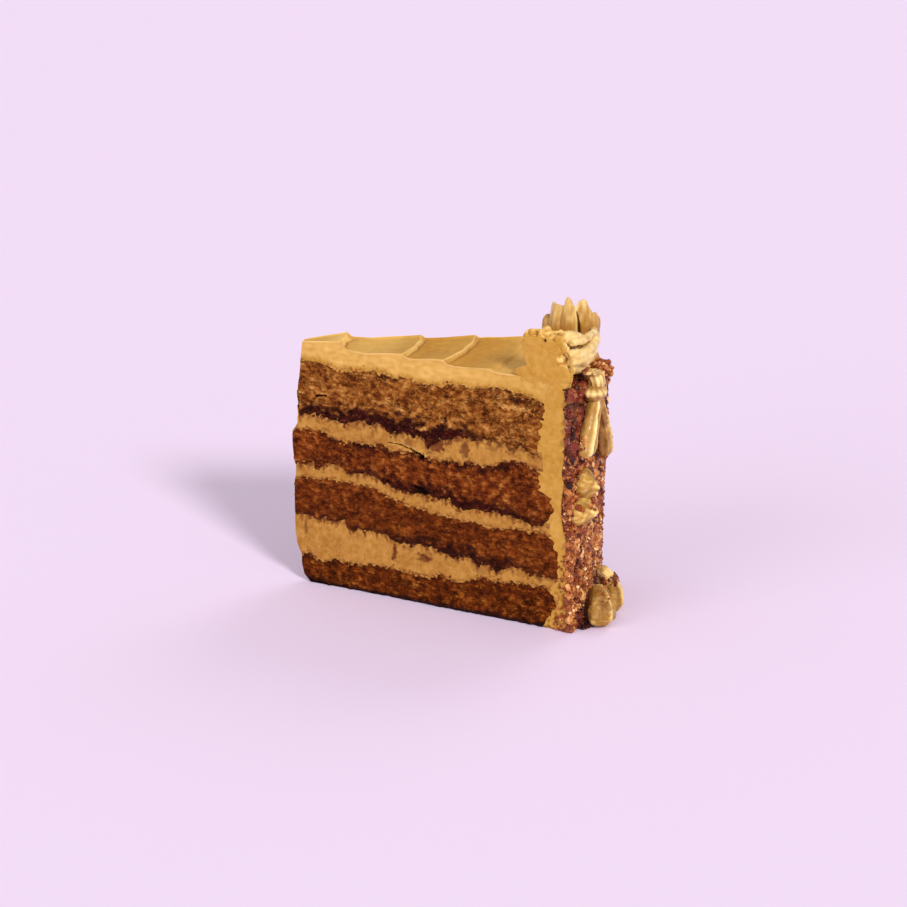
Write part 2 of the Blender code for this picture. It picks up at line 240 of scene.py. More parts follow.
def newMaterial(name):
    made = bpy.data.materials.new(name)
    made.use_nodes = True
    tree = made.node_tree
    shader = tree.nodes["Principled BSDF"]
    place = addNode(tree, "ShaderNodeTexCoord").outputs["Object"]
    return made, tree, shader, place


def addBump(tree, shader, height, strength, distance):
    bump = addNode(tree, "ShaderNodeBump", {"Height": height, "Strength": strength, "Distance": distance * mm})
    tree.links.new(bump.outputs["Normal"], shader.inputs["Normal"])


def spongeMaterial(name, look):
    made, tree, shader, place = newMaterial(name)
    flat = addNode(tree, "ShaderNodeMapping", {"Vector": place, "Scale": (1.0, 1.0, 1.9)}).outputs["Vector"]
    patches = spread(tree, noiseOf(tree, place, 95, 3), 0.34, 0.66)
    lumps = spread(tree, noiseOf(tree, flat, 330, 4, 0.55), 0.36, 0.64)
    grit = spread(tree, noiseOf(tree, flat, 1000, 3, 0.6), 0.36, 0.64)
    # dark crease lines, and pores darker and crests lighter by their relief: painted shade and painted highlight
    veins = mathOf(tree, "ABSOLUTE", mathOf(tree, "SUBTRACT", noiseOf(tree, flat, 430, 4, 0.55), 0.5))
    broken = spread(tree, noiseOf(tree, place, 210, 2), 0.44, 0.58)
    creases = mathOf(tree, "MULTIPLY", spread(tree, veins, 0.004, 0.060, 1.0, 0.0), broken)
    relief = spread(tree, attributeOf(tree, "relief"), -0.50, 0.45)
    level = mathOf(tree, "MULTIPLY", lumps, 0.34)
    for share, part in ((0.12, grit), (0.34, relief), (0.18, patches)):
        level = mathOf(tree, "ADD", level, mathOf(tree, "MULTIPLY", part, share))
    level = mathOf(tree, "ADD", level, attributeOf(tree, "shade"), clamp=True)
    dry = ramp(tree, level, [(0.14, colour(*look["deep"])), (0.36, colour(*look["dark"])),
                             (0.57, colour(*look["middle"])), (0.90, colour(*look["light"]))])
    dry = blendOf(tree, mathOf(tree, "MULTIPLY", creases, look["creases"]), dry, colour(*look["deep"]))
    wet = ramp(tree, level, [(0.24, colour(*look["soakDeep"])), (0.62, colour(*look["soak"])),
                             (0.95, colour(*look["soakLight"]))])
    soak = attributeOf(tree, "soak")
    tint = blendOf(tree, soak, dry, wet)
    tint = blendOf(tree, attributeOf(tree, "creamy"), tint, colour(*look["cream"]))
    tree.links.new(tint, shader.inputs["Base Color"])
    tree.links.new(spread(tree, soak, 0.0, 1.0, 0.90, 0.46), shader.inputs["Roughness"])
    shader.inputs["Specular IOR Level"].default_value = 0.06
    height = mathOf(tree, "ADD", mathOf(tree, "MULTIPLY", lumps, 0.8), mathOf(tree, "MULTIPLY", grit, 0.5))
    height = mathOf(tree, "SUBTRACT", height, mathOf(tree, "MULTIPLY", creases, 0.7))
    addBump(tree, shader, height, 0.9, 0.40)
    return made


def creamMaterial(name, look):
    made, tree, shader, place = newMaterial(name)
    drift = spread(tree, noiseOf(tree, place, 70, 3), 0.30, 0.70)
    mottle = spread(tree, noiseOf(tree, place, 420, 4, 0.6), 0.34, 0.66)
    grain = noiseOf(tree, place, 1100, 4, 0.6)
    cut = attributeOf(tree, "cut")
    base = blendOf(tree, drift, colour(*look["dark"]), colour(*look["base"]))
    base = blendOf(tree, mathOf(tree, "MULTIPLY", mottle, look["mottle"]), base, colour(*look["light"]))
    base = blendOf(tree, attributeOf(tree, "warm"), base, colour(252, 241, 210), "MULTIPLY")
    # below, the pale mix carries lighter cream and painted highlights, the brown mix carries smears and painted shade,
    # and the near-black mix is painted shade in cracks and holes
    base = blendOf(tree, attributeOf(tree, "pale"), base, colour(*look["light"]))
    smear = mathOf(tree, "MULTIPLY", attributeOf(tree, "smear"), spread(tree, mottle, 0.1, 0.9, 0.66, 1.0))
    base = blendOf(tree, smear, base, colour(*look["smear"]))
    base = blendOf(tree, attributeOf(tree, "pit"), base, colour(38, 14, 6))
    tree.links.new(base, shader.inputs["Base Color"])
    rough = spread(tree, grain, 0.3, 0.7, look["gloss"][0], look["gloss"][1])
    tree.links.new(mathOf(tree, "ADD", rough, mathOf(tree, "MULTIPLY", cut, 0.18)), shader.inputs["Roughness"])
    shader.inputs["Specular IOR Level"].default_value = look["shine"]
    shader.inputs["Subsurface Weight"].default_value = look["glow"]
    shader.inputs["Subsurface Radius"].default_value = (0.0016, 0.0010, 0.0005)
    shader.inputs["Subsurface Scale"].default_value = 1.0
    height = mathOf(tree, "ADD", mathOf(tree, "MULTIPLY", grain, 0.5),
                    mathOf(tree, "MULTIPLY", mathOf(tree, "MULTIPLY", mottle, cut), 0.5))
    addBump(tree, shader, height, look["bump"], 0.22)
    return made


spongeLooks = {
    "spongeOne": {"deep": (58, 22, 4), "dark": (108, 54, 16), "middle": (152, 92, 36), "light": (208, 150, 80),
                  "soak": (52, 5, 3), "soakDeep": (15, 1, 1), "soakLight": (80, 17, 10), "cream": (196, 140, 66),
                  "creases": 0.85},
    "spongeTwo": {"deep": (48, 13, 3), "dark": (92, 37, 10), "middle": (126, 60, 18), "light": (192, 120, 56),
                  "soak": (50, 6, 3), "soakDeep": (16, 1, 1), "soakLight": (78, 18, 10), "cream": (184, 126, 56),
                  "creases": 0.75},
    "spongeThree": {"deep": (44, 12, 2), "dark": (84, 33, 7), "middle": (112, 51, 13), "light": (164, 94, 36),
                    "soak": (46, 10, 5), "soakDeep": (17, 3, 2), "soakLight": (82, 32, 15), "cream": (180, 122, 52),
                    "creases": 0.65},
    "spongeFour": {"deep": (34, 10, 1), "dark": (76, 29, 4), "middle": (106, 46, 8), "light": (172, 102, 34),
                   "soak": (42, 10, 4), "soakDeep": (15, 3, 1), "soakLight": (80, 32, 12), "cream": (176, 118, 50),
                   "creases": 0.85},
}
creamLook = {"base": (188, 139, 58), "dark": (176, 125, 45), "light": (246, 204, 124), "smear": (120, 62, 24),
             "mottle": 0.20, "gloss": (0.44, 0.56), "shine": 0.05, "glow": 0.06, "bump": 0.34}
fillingLook = {"base": (174, 122, 50), "dark": (150, 96, 34), "light": (212, 162, 86), "smear": (92, 34, 14),
               "mottle": 0.45, "gloss": (0.44, 0.56), "shine": 0.10, "glow": 0.05, "bump": 0.50}
spongePaint = {name: spongeMaterial(name, look) for name, look in spongeLooks.items()}
creamPaint = creamMaterial("icingCream", creamLook)
fillingPaint = creamMaterial("fillingCream", fillingLook)
print("materials ready")

# the layers, measured on the near cut as (radius, height)
tipEdge = [(0.0, 8.0), (3.0, 5.0), (7.1, 4.0), (11.3, 4.0), (15.6, 2.0), (19.8, 1.4), (28.2, 1.2), (32.4, 1.2),
           (40.1, 1.3), (44.0, 2.0), (47.8, 2.0), (52.2, 1.0), (56.3, 0.6), (60.2, 0.6), (63.9, 3.0), (67.5, 3.0),
           (71.3, 4.0), (75.8, 3.0), (90.6, 5.0), (98.5, 6.0)]
layerEdge = [(0.0, 111.0), (2.0, 112.0), (7.4, 115.0), (10.3, 117.0), (13.0, 116.0), (16.8, 112.0), (18.8, 114.0),
             (21.2, 117.0), (27.4, 117.0), (34.2, 116.0), (38.5, 111.5), (42.7, 112.0), (47.3, 115.0),
             (52.1, 114.0), (54.5, 109.4), (60.5, 109.0), (66.0, 108.5), (70.6, 108.0), (76.1, 109.0),
             (81.4, 110.0), (86.7, 111.0), (89.4, 110.0)]
borders = {
    "icingFoot": {"ragged": 0.55, "tongues": 0.5, "line": [
        (5, 90.6), (12, 91.3), (18, 90.0), (23, 89.3), (28, 90.7), (32, 90.0), (37, 90.8), (42, 90.9), (46, 89.4),
        (52, 90.6), (56, 89.0), (62, 89.2), (66, 89.4), (73, 90.9), (77, 90.8), (85, 91.1), (90, 92.0),
        (96, 91.8), (102, 91.2), (105, 90.4), (110, 89.4)]},
    "spongeOneFoot": {"ragged": 0.55, "tongues": 0.7, "line": [
        (3, 72.0), (4, 67.3), (8, 69.0), (13, 69.1), (16, 67.7), (22, 68.3), (25, 67.4), (31, 69.7), (36, 68.6),
        (40, 69.9), (43, 66.8), (48, 66.8), (52, 68.2), (55, 66.6), (58, 68.1), (61, 63.0), (68, 67.7), (74, 69.3),
        (78, 69.7), (82, 69.4), (88, 70.0), (94, 69.6), (96, 67.2), (98, 68.8), (101, 69.6), (106, 67.5),
        (110, 68.6)]},
    "fillingOneFoot": {"ragged": 0.5, "tongues": 0.4, "line": [
        (0, 59.5), (3, 63.2), (9, 63.7), (13, 63.7), (17, 62.0), (22, 60.8), (25, 61.1), (32, 61.2), (40, 62.4),
        (43, 62.2), (44, 60.5), (54, 61.7), (60, 60.3), (67, 60.1), (72, 61.0), (75, 60.2), (80, 61.4), (84, 60.5),
        (89, 61.5), (93, 63.5), (97, 64.5), (101, 64.8), (106, 63.5), (110, 63.3)]},
    "spongeTwoFoot": {"ragged": 0.55, "tongues": 0.7, "line": [
        (2, 47.4), (4, 48.1), (10, 49.1), (11, 46.4), (13, 48.3), (17, 49.4), (23, 49.1), (25, 46.9), (29, 47.9),
        (34, 48.3), (39, 47.4), (42, 45.9), (48, 44.0), (52, 43.4), (58, 44.0), (63, 44.4), (66, 43.2), (70, 43.9),
        (73, 41.0), (77, 40.9), (80, 41.8), (85, 41.9), (93, 42.4), (97, 42.3), (102, 40.6), (106, 39.8),
        (110, 40.9)]},
    "fillingTwoFoot": {"ragged": 0.55, "tongues": 0.4, "line": [
        (2, 42.3), (6, 43.9), (10, 43.7), (17, 44.7), (21, 44.2), (26, 44.5), (31, 44.6), (36, 44.6), (39, 43.4),
        (43, 41.9), (48, 40.6), (52, 39.7), (57, 39.7), (61, 38.7), (67, 37.9), (71, 37.9), (76, 37.1), (82, 37.6),
        (86, 36.7), (91, 36.8), (97, 37.8), (102, 37.8), (106, 38.5), (110, 38.5)]},
    "spongeThreeFoot": {"ragged": 0.55, "tongues": 0.7, "line": [
        (1, 29.1), (2, 27.1), (7, 27.6), (12, 26.3), (15, 27.3), (20, 26.4), (24, 27.5), (26, 24.1), (28, 24.0),
        (30, 26.0), (33, 24.8), (35, 26.0), (41, 25.4), (45, 23.5), (49, 22.9), (52, 22.3), (57, 23.5), (63, 22.9),
        (70, 21.6), (72, 20.3), (77, 22.4), (79, 22.0), (83, 19.3), (86, 20.4), (90, 18.6), (94, 20.1), (97, 21.9),
        (102, 21.0), (105, 19.6), (111, 20.1)]},
    "fillingThreeFoot": {"ragged": 0.6, "tongues": 0.4, "line": [
        (4, 11.3), (7, 13.2), (10, 11.5), (14, 9.7), (19, 11.8), (24, 11.5), (31, 11.9), (38, 12.7), (43, 12.7),
        (50, 12.2), (56, 12.2), (62, 11.9), (66, 14.2), (70, 12.5), (76, 12.4), (81, 14.8), (85, 16.5), (89, 15.5),
        (94, 15.6), (100, 16.6), (104, 16.7), (111, 17.3)]},
    "table": {"ragged": 0.0, "tongues": 0.0, "line": [(0, 0.0), (120, 0.0)]},
}


def borderHeight(name, radius, turn, fine=True):
    border = borders[name]
    height = line(border["line"], radius)
    seed = 3.7 * sorted(borders).index(name) + 1.3
    if border["ragged"]:
        height = height + 1.6 * (turn / sliceTurn) * noiseAt(radius / 16, turn * 0.04, seed=seed)
    if fine and border["ragged"]:
        ragged = 0.9 * noiseAt(radius / 2.4, turn * 0.15, seed=seed + 11)
        ragged += 0.30 * noiseAt(radius / 1.3, turn * 0.3, seed=seed + 23)
        teeth = np.clip(noiseAt(radius / 1.1, turn * 0.2, seed=seed + 31) - 0.22, 0, None)
        height = height + border["ragged"] * ragged - border["tongues"] * 2.0 * teeth
    return height


layers = {
    "spongeOne": {"node": "sponge_1", "top": "icingFoot", "foot": "spongeOneFoot", "rows": 60, "kind": "sponge",
                  "paint": "spongeOne", "soak": [
                      (0, 4.0, 0.9), (10, 5.0, 0.95), (25, 6.2, 1.0), (45, 8.0, 1.0), (62, 8.2, 1.0),
                      (72, 6.4, 1.0), (80, 4.0, 0.85), (90, 2.0, 0.5), (112, 1.5, 0.4)],
                  "skin": [(0, 0.9, 0.6), (112, 1.1, 0.6)]},
    "spongeTwo": {"node": "sponge_2", "top": "fillingOneFoot", "foot": "spongeTwoFoot", "rows": 48,
                  "kind": "sponge", "paint": "spongeTwo", "soak": [
                      (0, 1.5, 0.3), (25, 2.0, 0.4), (38, 4.0, 0.85), (60, 5.5, 0.9), (80, 6.0, 0.95),
                      (95, 4.0, 0.9), (112, 3.0, 0.6)],
                  "skin": [(0, 0.7, 0.4), (22, 1.6, 0.8), (34, 2.6, 0.7), (60, 2.0, 0.8), (80, 3.2, 0.85),
                           (100, 2.4, 0.8), (112, 2.0, 0.6)]},
    "spongeThree": {"node": "sponge_3", "top": "fillingTwoFoot", "foot": "spongeThreeFoot", "rows": 48,
                    "kind": "sponge", "paint": "spongeThree", "soak": [
                        (0, 2.0, 0.6), (12, 2.4, 0.7), (25, 2.6, 0.6), (42, 2.6, 0.6), (50, 3.8, 0.85),
                        (62, 4.2, 0.85), (80, 6.0, 0.9), (95, 4.5, 0.75), (112, 2.5, 0.5)],
                    "skin": [(0, 0.6, 0.3), (112, 1.0, 0.4)]},
    # the dark band of the bottom sponge along the table is partly its crust and partly painted contact shadow
    "spongeFour": {"node": "sponge_4", "top": "fillingThreeFoot", "foot": "table", "rows": 42, "kind": "sponge",
                   "paint": "spongeFour", "soak": [(0, 2.2, 0.8), (30, 1.8, 0.9), (112, 2.4, 0.95)],
                   "skin": [(0, 1.2, 0.55), (112, 1.6, 0.6)]},
    "fillingOne": {"node": "filling_1", "top": "spongeOneFoot", "foot": "fillingOneFoot", "rows": 34,
                   "kind": "cream"},
    "fillingTwo": {"node": "filling_2", "top": "spongeTwoFoot", "foot": "fillingTwoFoot", "rows": 30,
                   "kind": "cream"},
    "fillingThree": {"node": "filling_3", "top": "spongeThreeFoot", "foot": "fillingThreeFoot", "rows": 42,
                     "kind": "cream"},
}
cutFinish = {"columns": 350, "turnSteps": 14, "creamHidden": 1.3, "creamBack": 0.12, "spongeFall": 0.34,
             "fallWidth": 0.9, "wipedDown": 0.8, "undercut": 0.9}
# what the knife and the crumb left on the near cut, as (radius, height) on it: lines pressed in, darker and paler
# places with the half sizes of each, and sponge dragged over the cream
cracks = [
    {"path": [(43.2, 63.2, 0.14), (47.6, 63.3, 0.20), (50.6, 62.8, 0.28), (53.6, 62.0, 0.34), (56.2, 60.9, 0.6),
              (58.4, 59.7, 0.75), (59.4, 58.4, 0.3)], "deep": 2.0},
    {"path": [(11.4, 77.0, 0.20), (13.6, 77.6, 0.30), (15.9, 77.8, 0.20)], "deep": 0.8},
    {"path": [(55.0, 47.4, 0.3), (57.6, 46.6, 0.45), (60.8, 45.6, 0.3)], "deep": 0.8},
    {"path": [(5.4, 90.5, 0.2), (9.0, 91.2, 0.35), (13.2, 91.2, 0.3)], "deep": 0.6},
    {"path": [(18.6, 89.6, 0.3), (24.0, 89.2, 0.2), (31.6, 90.2, 0.35)], "deep": 0.6},
]
darkPlaces = [(42.0, 89.4, 5.0, 1.3, 0.7), (99.6, 88.3, 5.6, 1.5, 0.75), (64.6, 70.6, 3.2, 2.6, 1.0),
              (73.2, 71.0, 3.4, 1.7, 1.0), (32.4, 60.7, 9.0, 1.6, 0.85), (91.6, 61.3, 6.0, 1.4, 0.85),
              (87.0, 44.7, 6.6, 1.7, 0.9), (22.0, 52.0, 6.0, 2.0, 0.35), (13.4, 41.4, 1.6, 1.0, 0.6)]
palePlaces = [(98.6, 85.2, 7.4, 0.9, 0.40), (70.2, 74.8, 3.2, 1.3, 0.16), (52.2, 44.0, 3.2, 1.4, 0.14),
              (58.8, 71.0, 3.6, 0.7, 0.45), (13.4, 42.4, 3.4, 0.6, 0.30), (40.0, 78.0, 14.0, 3.4, 0.06)]
brownPlaces = [(24.4, 67.2, 0.8, 2.0, 1.0), (36.7, 66.3, 0.7, 1.9, 0.45), (77.2, 65.6, 2.2, 3.8, 0.85),
               (65.8, 66.2, 2.8, 4.2, 1.0), (62.2, 65.4, 1.6, 3.4, 1.0), (52.6, 64.6, 2.2, 2.0, 0.6),
               (70.6, 67.4, 1.2, 1.4, 0.9), (46.4, 19.8, 1.0, 4.4, 1.0), (45.6, 16.6, 1.2, 1.0, 1.0),
               (28.0, 67.6, 2.6, 1.2, 0.5), (88.6, 67.8, 2.2, 1.3, 0.5), (12.0, 67.6, 1.6, 1.4, 0.5),
               (59.6, 19.2, 3.4, 2.0, 0.95), (6.2, 22.6, 0.9, 4.8, 0.7),
               (65.1, 66.4, 0.8, 1.0, 0.8), (77.6, 65.2, 0.9, 0.7, 0.8), (84.0, 18.0, 4.0, 1.4, 0.35),
               (16.0, 64.2, 2.0, 0.9, 0.5), (70.0, 59.6, 2.4, 0.8, 0.4)]


# how far a place is from a crack, in widths of the crack there
def crackShare(path, radius, height):
    nearest = np.full_like(radius, 99.0)
    for first, last in zip(path, path[1:]):
        along = np.array(last[:2]) - np.array(first[:2])
        share = ((radius - first[0]) * along[0] + (height - first[1]) * along[1]) / (along @ along)
        share = np.clip(share, 0, 1)
        gap = np.hypot(radius - first[0] - share * along[0], height - first[1] - share * along[1])
        nearest = np.minimum(nearest, gap / (first[2] + (last[2] - first[2]) * share))
    return nearest * (1 + 0.8 * noiseAt(radius / 1.3, height / 0.9, seed=67.0))


def placesAt(places, radius, height):
    ragged = 1 + 0.8 * noiseAt(radius / 1.4, height / 1.1, seed=61.0)
    total = np.zeros_like(radius)
    for middle, level, wide, tall, amount in places:
        gap = np.hypot((radius - middle) / wide, (height - level) / tall) * ragged
        total = np.maximum(total, amount * (1 - smooth(gap, 0.55, 1.15)))
    return total


def flatSheet(name, columns, rows):
    startFresh()
    bpy.ops.mesh.primitive_grid_add(x_subdivisions=columns, y_subdivisions=rows, size=2, location=(0, 0, 0))
    sheet = bpy.context.object
    sheet.name = name
    points = pointsOf(sheet)
    setValues(sheet, "along", (points[:, 0] + 1) / 2)
    setValues(sheet, "rise", (points[:, 1] + 1) / 2)
    return sheet


def turnThroughSlice(piece, steps):
    bpy.ops.object.mode_set(mode="EDIT")
    bpy.ops.mesh.select_all(action="SELECT")
    bpy.ops.mesh.spin(steps=steps, angle=-math.radians(sliceTurn), center=(tipX, tipY, 0), axis=(0, 0, 1))
    bpy.ops.mesh.select_all(action="SELECT")
    bpy.ops.mesh.normals_make_consistent(inside=False)
    bpy.ops.object.mode_set(mode="OBJECT")


def layerPlaces(look, along, rise, turn):
    hidden = cutFinish["creamHidden"] if look["kind"] == "cream" else 0.0
    height = np.full_like(along, 50.0)
    for settle in range(5):
        tip, edge = line(tipEdge, height), line(layerEdge, height) + (1.5 if hidden else 0.0)
        radius = tip + (edge - tip) * along
        low = borderHeight(look["foot"], radius, turn, fine=settle == 4) - hidden
        high = borderHeight(look["top"], radius, turn, fine=settle == 4) + hidden
        height = low + (high - low) * rise
    return radius, height, low, high


def cutShare(turn):
    return (np.abs(turn) < 0.05).astype(float), (np.abs(turn - sliceTurn) < 0.05).astype(float)


# the cut draws back a little above the table
def footFall(radius, height):
    ragged = 1.2 + 0.9 * noiseAt(radius / 2.2, height * 0.0, seed=91.0)
    return cutFinish["undercut"] * (1 - smooth(height, 0.0, ragged))


def makeLayer(name, look):
    piece = flatSheet(name, cutFinish["columns"], look["rows"])
    along, rise = getValues(piece, "along"), getValues(piece, "rise")
    radius, height, low, high = layerPlaces(look, along, rise, np.zeros_like(along))
    movePoints(piece, toScene(radius, 0.0, height))
    turnThroughSlice(piece, cutFinish["turnSteps"])
    along, rise = getValues(piece, "along"), getValues(piece, "rise")
    turn = toCake(pointsOf(piece))[1]
    radius, height, low, high = layerPlaces(look, along, rise, turn)
    near, far = cutShare(turn)
    fromLow, fromHigh = height - low, high - height
    out = np.zeros_like(radius)
    onNear = near * 1.0
    crackGaps = [crackShare(crack["path"], radius, height) for crack in cracks]
    crackGap = np.min(crackGaps, axis=0)
    crackDeep = np.max([crack["deep"] * (1 - smooth(gap, 0.5, 1.5)) for crack, gap in zip(cracks, crackGaps)], axis=0)
    out -= crackDeep * onNear
    if look["kind"] == "sponge":
        edgeGap = np.minimum(np.minimum(fromLow, fromHigh), np.minimum(radius - line(tipEdge, height) + 0.6,
                                                                       line(layerEdge, height) - radius))
        if look["foot"] == "table":
            edgeGap = np.minimum(fromHigh, line(layerEdge, height) - radius)
        out -= cutFinish["spongeFall"] * (1 - smooth(edgeGap, 0, cutFinish["fallWidth"]))
        blotch = noiseAt(radius / 2.6, height / 2.2, turn * 0.3, seed=5.0)
        fleck = noiseAt(radius / 1.0, height / 0.8, turn * 0.3, seed=7.0)
        soakDeep = line(look["soak"], radius)
        soakDark = line(look["soak"], radius, 2)
        skinDeep = line(look["skin"], radius)
        skinDark = line(look["skin"], radius, 2)
        below = fromLow / soakDeep + 0.75 * blotch + 0.35 * fleck
        soak = soakDark * (1 - smooth(below, 0.60, 1.25)) * (1.0 + 0.35 * fleck)
        above = fromHigh / skinDeep + 1.3 * blotch + 0.5 * fleck
        soak = np.maximum(soak, skinDark * (1 - smooth(above, 0.3, 1.3)))
        soak = np.maximum(soak, placesAt(darkPlaces, radius, height) * (near + 0.6 * far))
        # the dark in the cracks is painted shade
        soak = np.maximum(soak, (1 - smooth(crackGap, 0.8, 1.8)) * onNear)
        pale = placesAt(palePlaces, radius, height) * (near + 0.5 * far)
        setValues(piece, "soak", np.clip(soak * (1 - pale * 1.6), 0, 1))
        drag = noiseAt(radius / 1.7, height / 1.0, turn * 0.3, seed=81.0)
        dragReach = 0.6 + 2.4 * np.clip(noiseAt(radius / 1.5, turn * 0.3, seed=83.0) + 0.1, 0, None)
        wiped = np.clip(0.26 + 1.8 * drag, 0, 0.85)
        creamy = wiped * (1 - smooth(fromHigh, 0.1, dragReach * cutFinish["wipedDown"]))
        if look["foot"] != "table":
            creamy = np.maximum(creamy, 0.8 * wiped * (1 - smooth(fromLow, 0.1, dragReach)))
        setValues(piece, "creamy", creamy * (near + far))
        out += 0.5 * pale
        shade = pale - 0.45 * (1 - smooth(crackGap, 0.4, 1.3)) * onNear
        shade += 0.07 * noiseAt(radius / 7.0, height / 4.0, turn * 0.2, seed=15.0)
        setValues(piece, "shade", shade + look.get("shade", 0.0))
    else:
        out -= cutFinish["creamBack"]
        visible = cutFinish["creamHidden"]
        streak = noiseAt(radius / 1.6, height / 2.0, turn * 0.3, seed=17.0)
        broad = noiseAt(radius / 1.7, turn * 0.3, seed=27.0)
        reach = 1.2 + 6.0 * np.clip(broad + 0.05, 0, None)
        smear = (1 - smooth(fromHigh - visible, reach * 0.1, reach)) * np.clip(0.55 + 1.4 * streak + broad, 0, 0.95)
        liftReach = 0.9 + 2.8 * np.clip(noiseAt(radius / 1.3, turn * 0.3, seed=37.0), 0, None)
        lift = (1 - smooth(fromLow - visible, 0.1, liftReach)) * np.clip(0.40 + 1.5 * noiseAt(
            radius / 1.6, height / 0.9, seed=39.0), 0, 0.85)
        speck = np.clip(noiseAt(radius / 0.7, height / 0.7, turn * 0.4, seed=71.0) - 0.52, 0, None) * 5
        smear = np.maximum(np.maximum(smear, lift), np.minimum(speck, 0.7))
        smear = np.maximum(smear, placesAt(brownPlaces, radius, height) * (near + 0.6 * far))
        setValues(piece, "smear", np.clip(smear, 0, 1))
        setValues(piece, "pit", (1 - smooth(crackGap, 0.7, 1.5)) * onNear)
        setValues(piece, "pale", 0.6 * (1 - smooth(np.abs(crackGap - 2.4), 0.3, 1.2)) * onNear)
        setValues(piece, "cut", near + far)
    out -= footFall(radius, height)
    angle = np.radians(turn) - halfTurn
    radius, turn, height = handMade(radius, turn, height)
    points = toScene(radius, turn, height)
    away = np.stack([-np.sin(angle), np.cos(angle), np.zeros_like(angle)], axis=1)
    points += away * ((far - near) * out * mm)[:, None]
    movePoints(piece, points)
    group = groupPoints(piece, "cutFaces", near + far)
    roughen(piece, "CLOUDS", 14.0, 0.9, group, noise_depth=1)
    applyAll(piece)
    before = pointsOf(piece)
    if look["kind"] == "sponge":
        roughen(piece, "CLOUDS", 2.4, 1.25, group, noise_depth=3)
        roughen(piece, "VORONOI", 1.5, 0.45, group, middle=0.45, noise_intensity=1.0)
    else:
        roughen(piece, "CLOUDS", 1.6, 0.16, group, noise_depth=2)
    applyAll(piece)
    after = pointsOf(piece)
    moved = ((after - before) * away).sum(axis=1) * (far - near) / mm
    setValues(piece, "relief", moved + out)
    after[:, 2] = np.clip(after[:, 2], 0, None)
    movePoints(piece, after)
    smoothShade(piece)
    if look["kind"] == "sponge":
        finishPiece(piece, spongePaint[look["paint"]], "sponge", look["node"])
    else:
        finishPiece(piece, fillingPaint, "cream", look["node"])
    print("layer", name, len(piece.data.polygons), "faces")
    return piece


for layerName, layerLook in layers.items():
    makeLayer(layerName, layerLook)

# icing over the top and down the curved side
icingLook = {
    "fallPale": (0.95, 0.80, 0.45, 0.10),  # painted highlight on the slope past each lip
    "nearTop": [(6, 98.3), (11, 98.8), (16, 99.6), (22, 100.4), (23, 100.0), (26, 98.2), (28, 97.5), (34, 97.2),
                (43, 98.6), (50, 99.4), (51, 98.4), (54, 97.9), (61, 99.1), (67, 99.5), (69, 98.3), (72, 97.7),
                (79, 98.1), (87, 98.8), (91, 97.8), (99, 98.0), (113, 97.9)],
    "farTop": [(5.2, 97.9), (12, 99.0), (22.2, 100.9), (25.4, 99.0), (32, 98.4), (42, 98.9), (50.9, 99.5),
               (53, 98.3), (62, 98.8), (71.8, 99.4), (73.6, 98.3), (82, 98.5), (90, 98.9), (92.5, 98.2),
               (113, 98.0)],
    "lips": [(22.0, 22.2), (50.0, 50.9), (67.5, 71.8), (87.5, 90.0)], "lipGaps": [5.6, 2.0, 2.2, 3.0],
    "side": [(113.0, 97.9), (115.0, 97.6), (118.0, 95.3), (119.0, 92.4), (120.0, 89.9), (118.0, 87.7),
             (119.0, 84.8), (120.0, 82.5), (119.0, 75.0), (119.0, 68.0), (118.0, 63.1), (119.0, 58.0),
             (118.0, 51.9), (118.0, 45.8), (119.0, 39.9), (120.6, 37.0), (120.0, 32.1), (120.0, 23.9),
             (120.8, 22.9), (121.0, 15.1), (121.0, 8.6), (121.4, 4.7), (121.4, 0.0)],
    "lipFall": 0.6, "columns": 560, "rows": 22, "turnSteps": 48, "hidden": 1.3, "back": 0.2, "corner": 0.5,
}


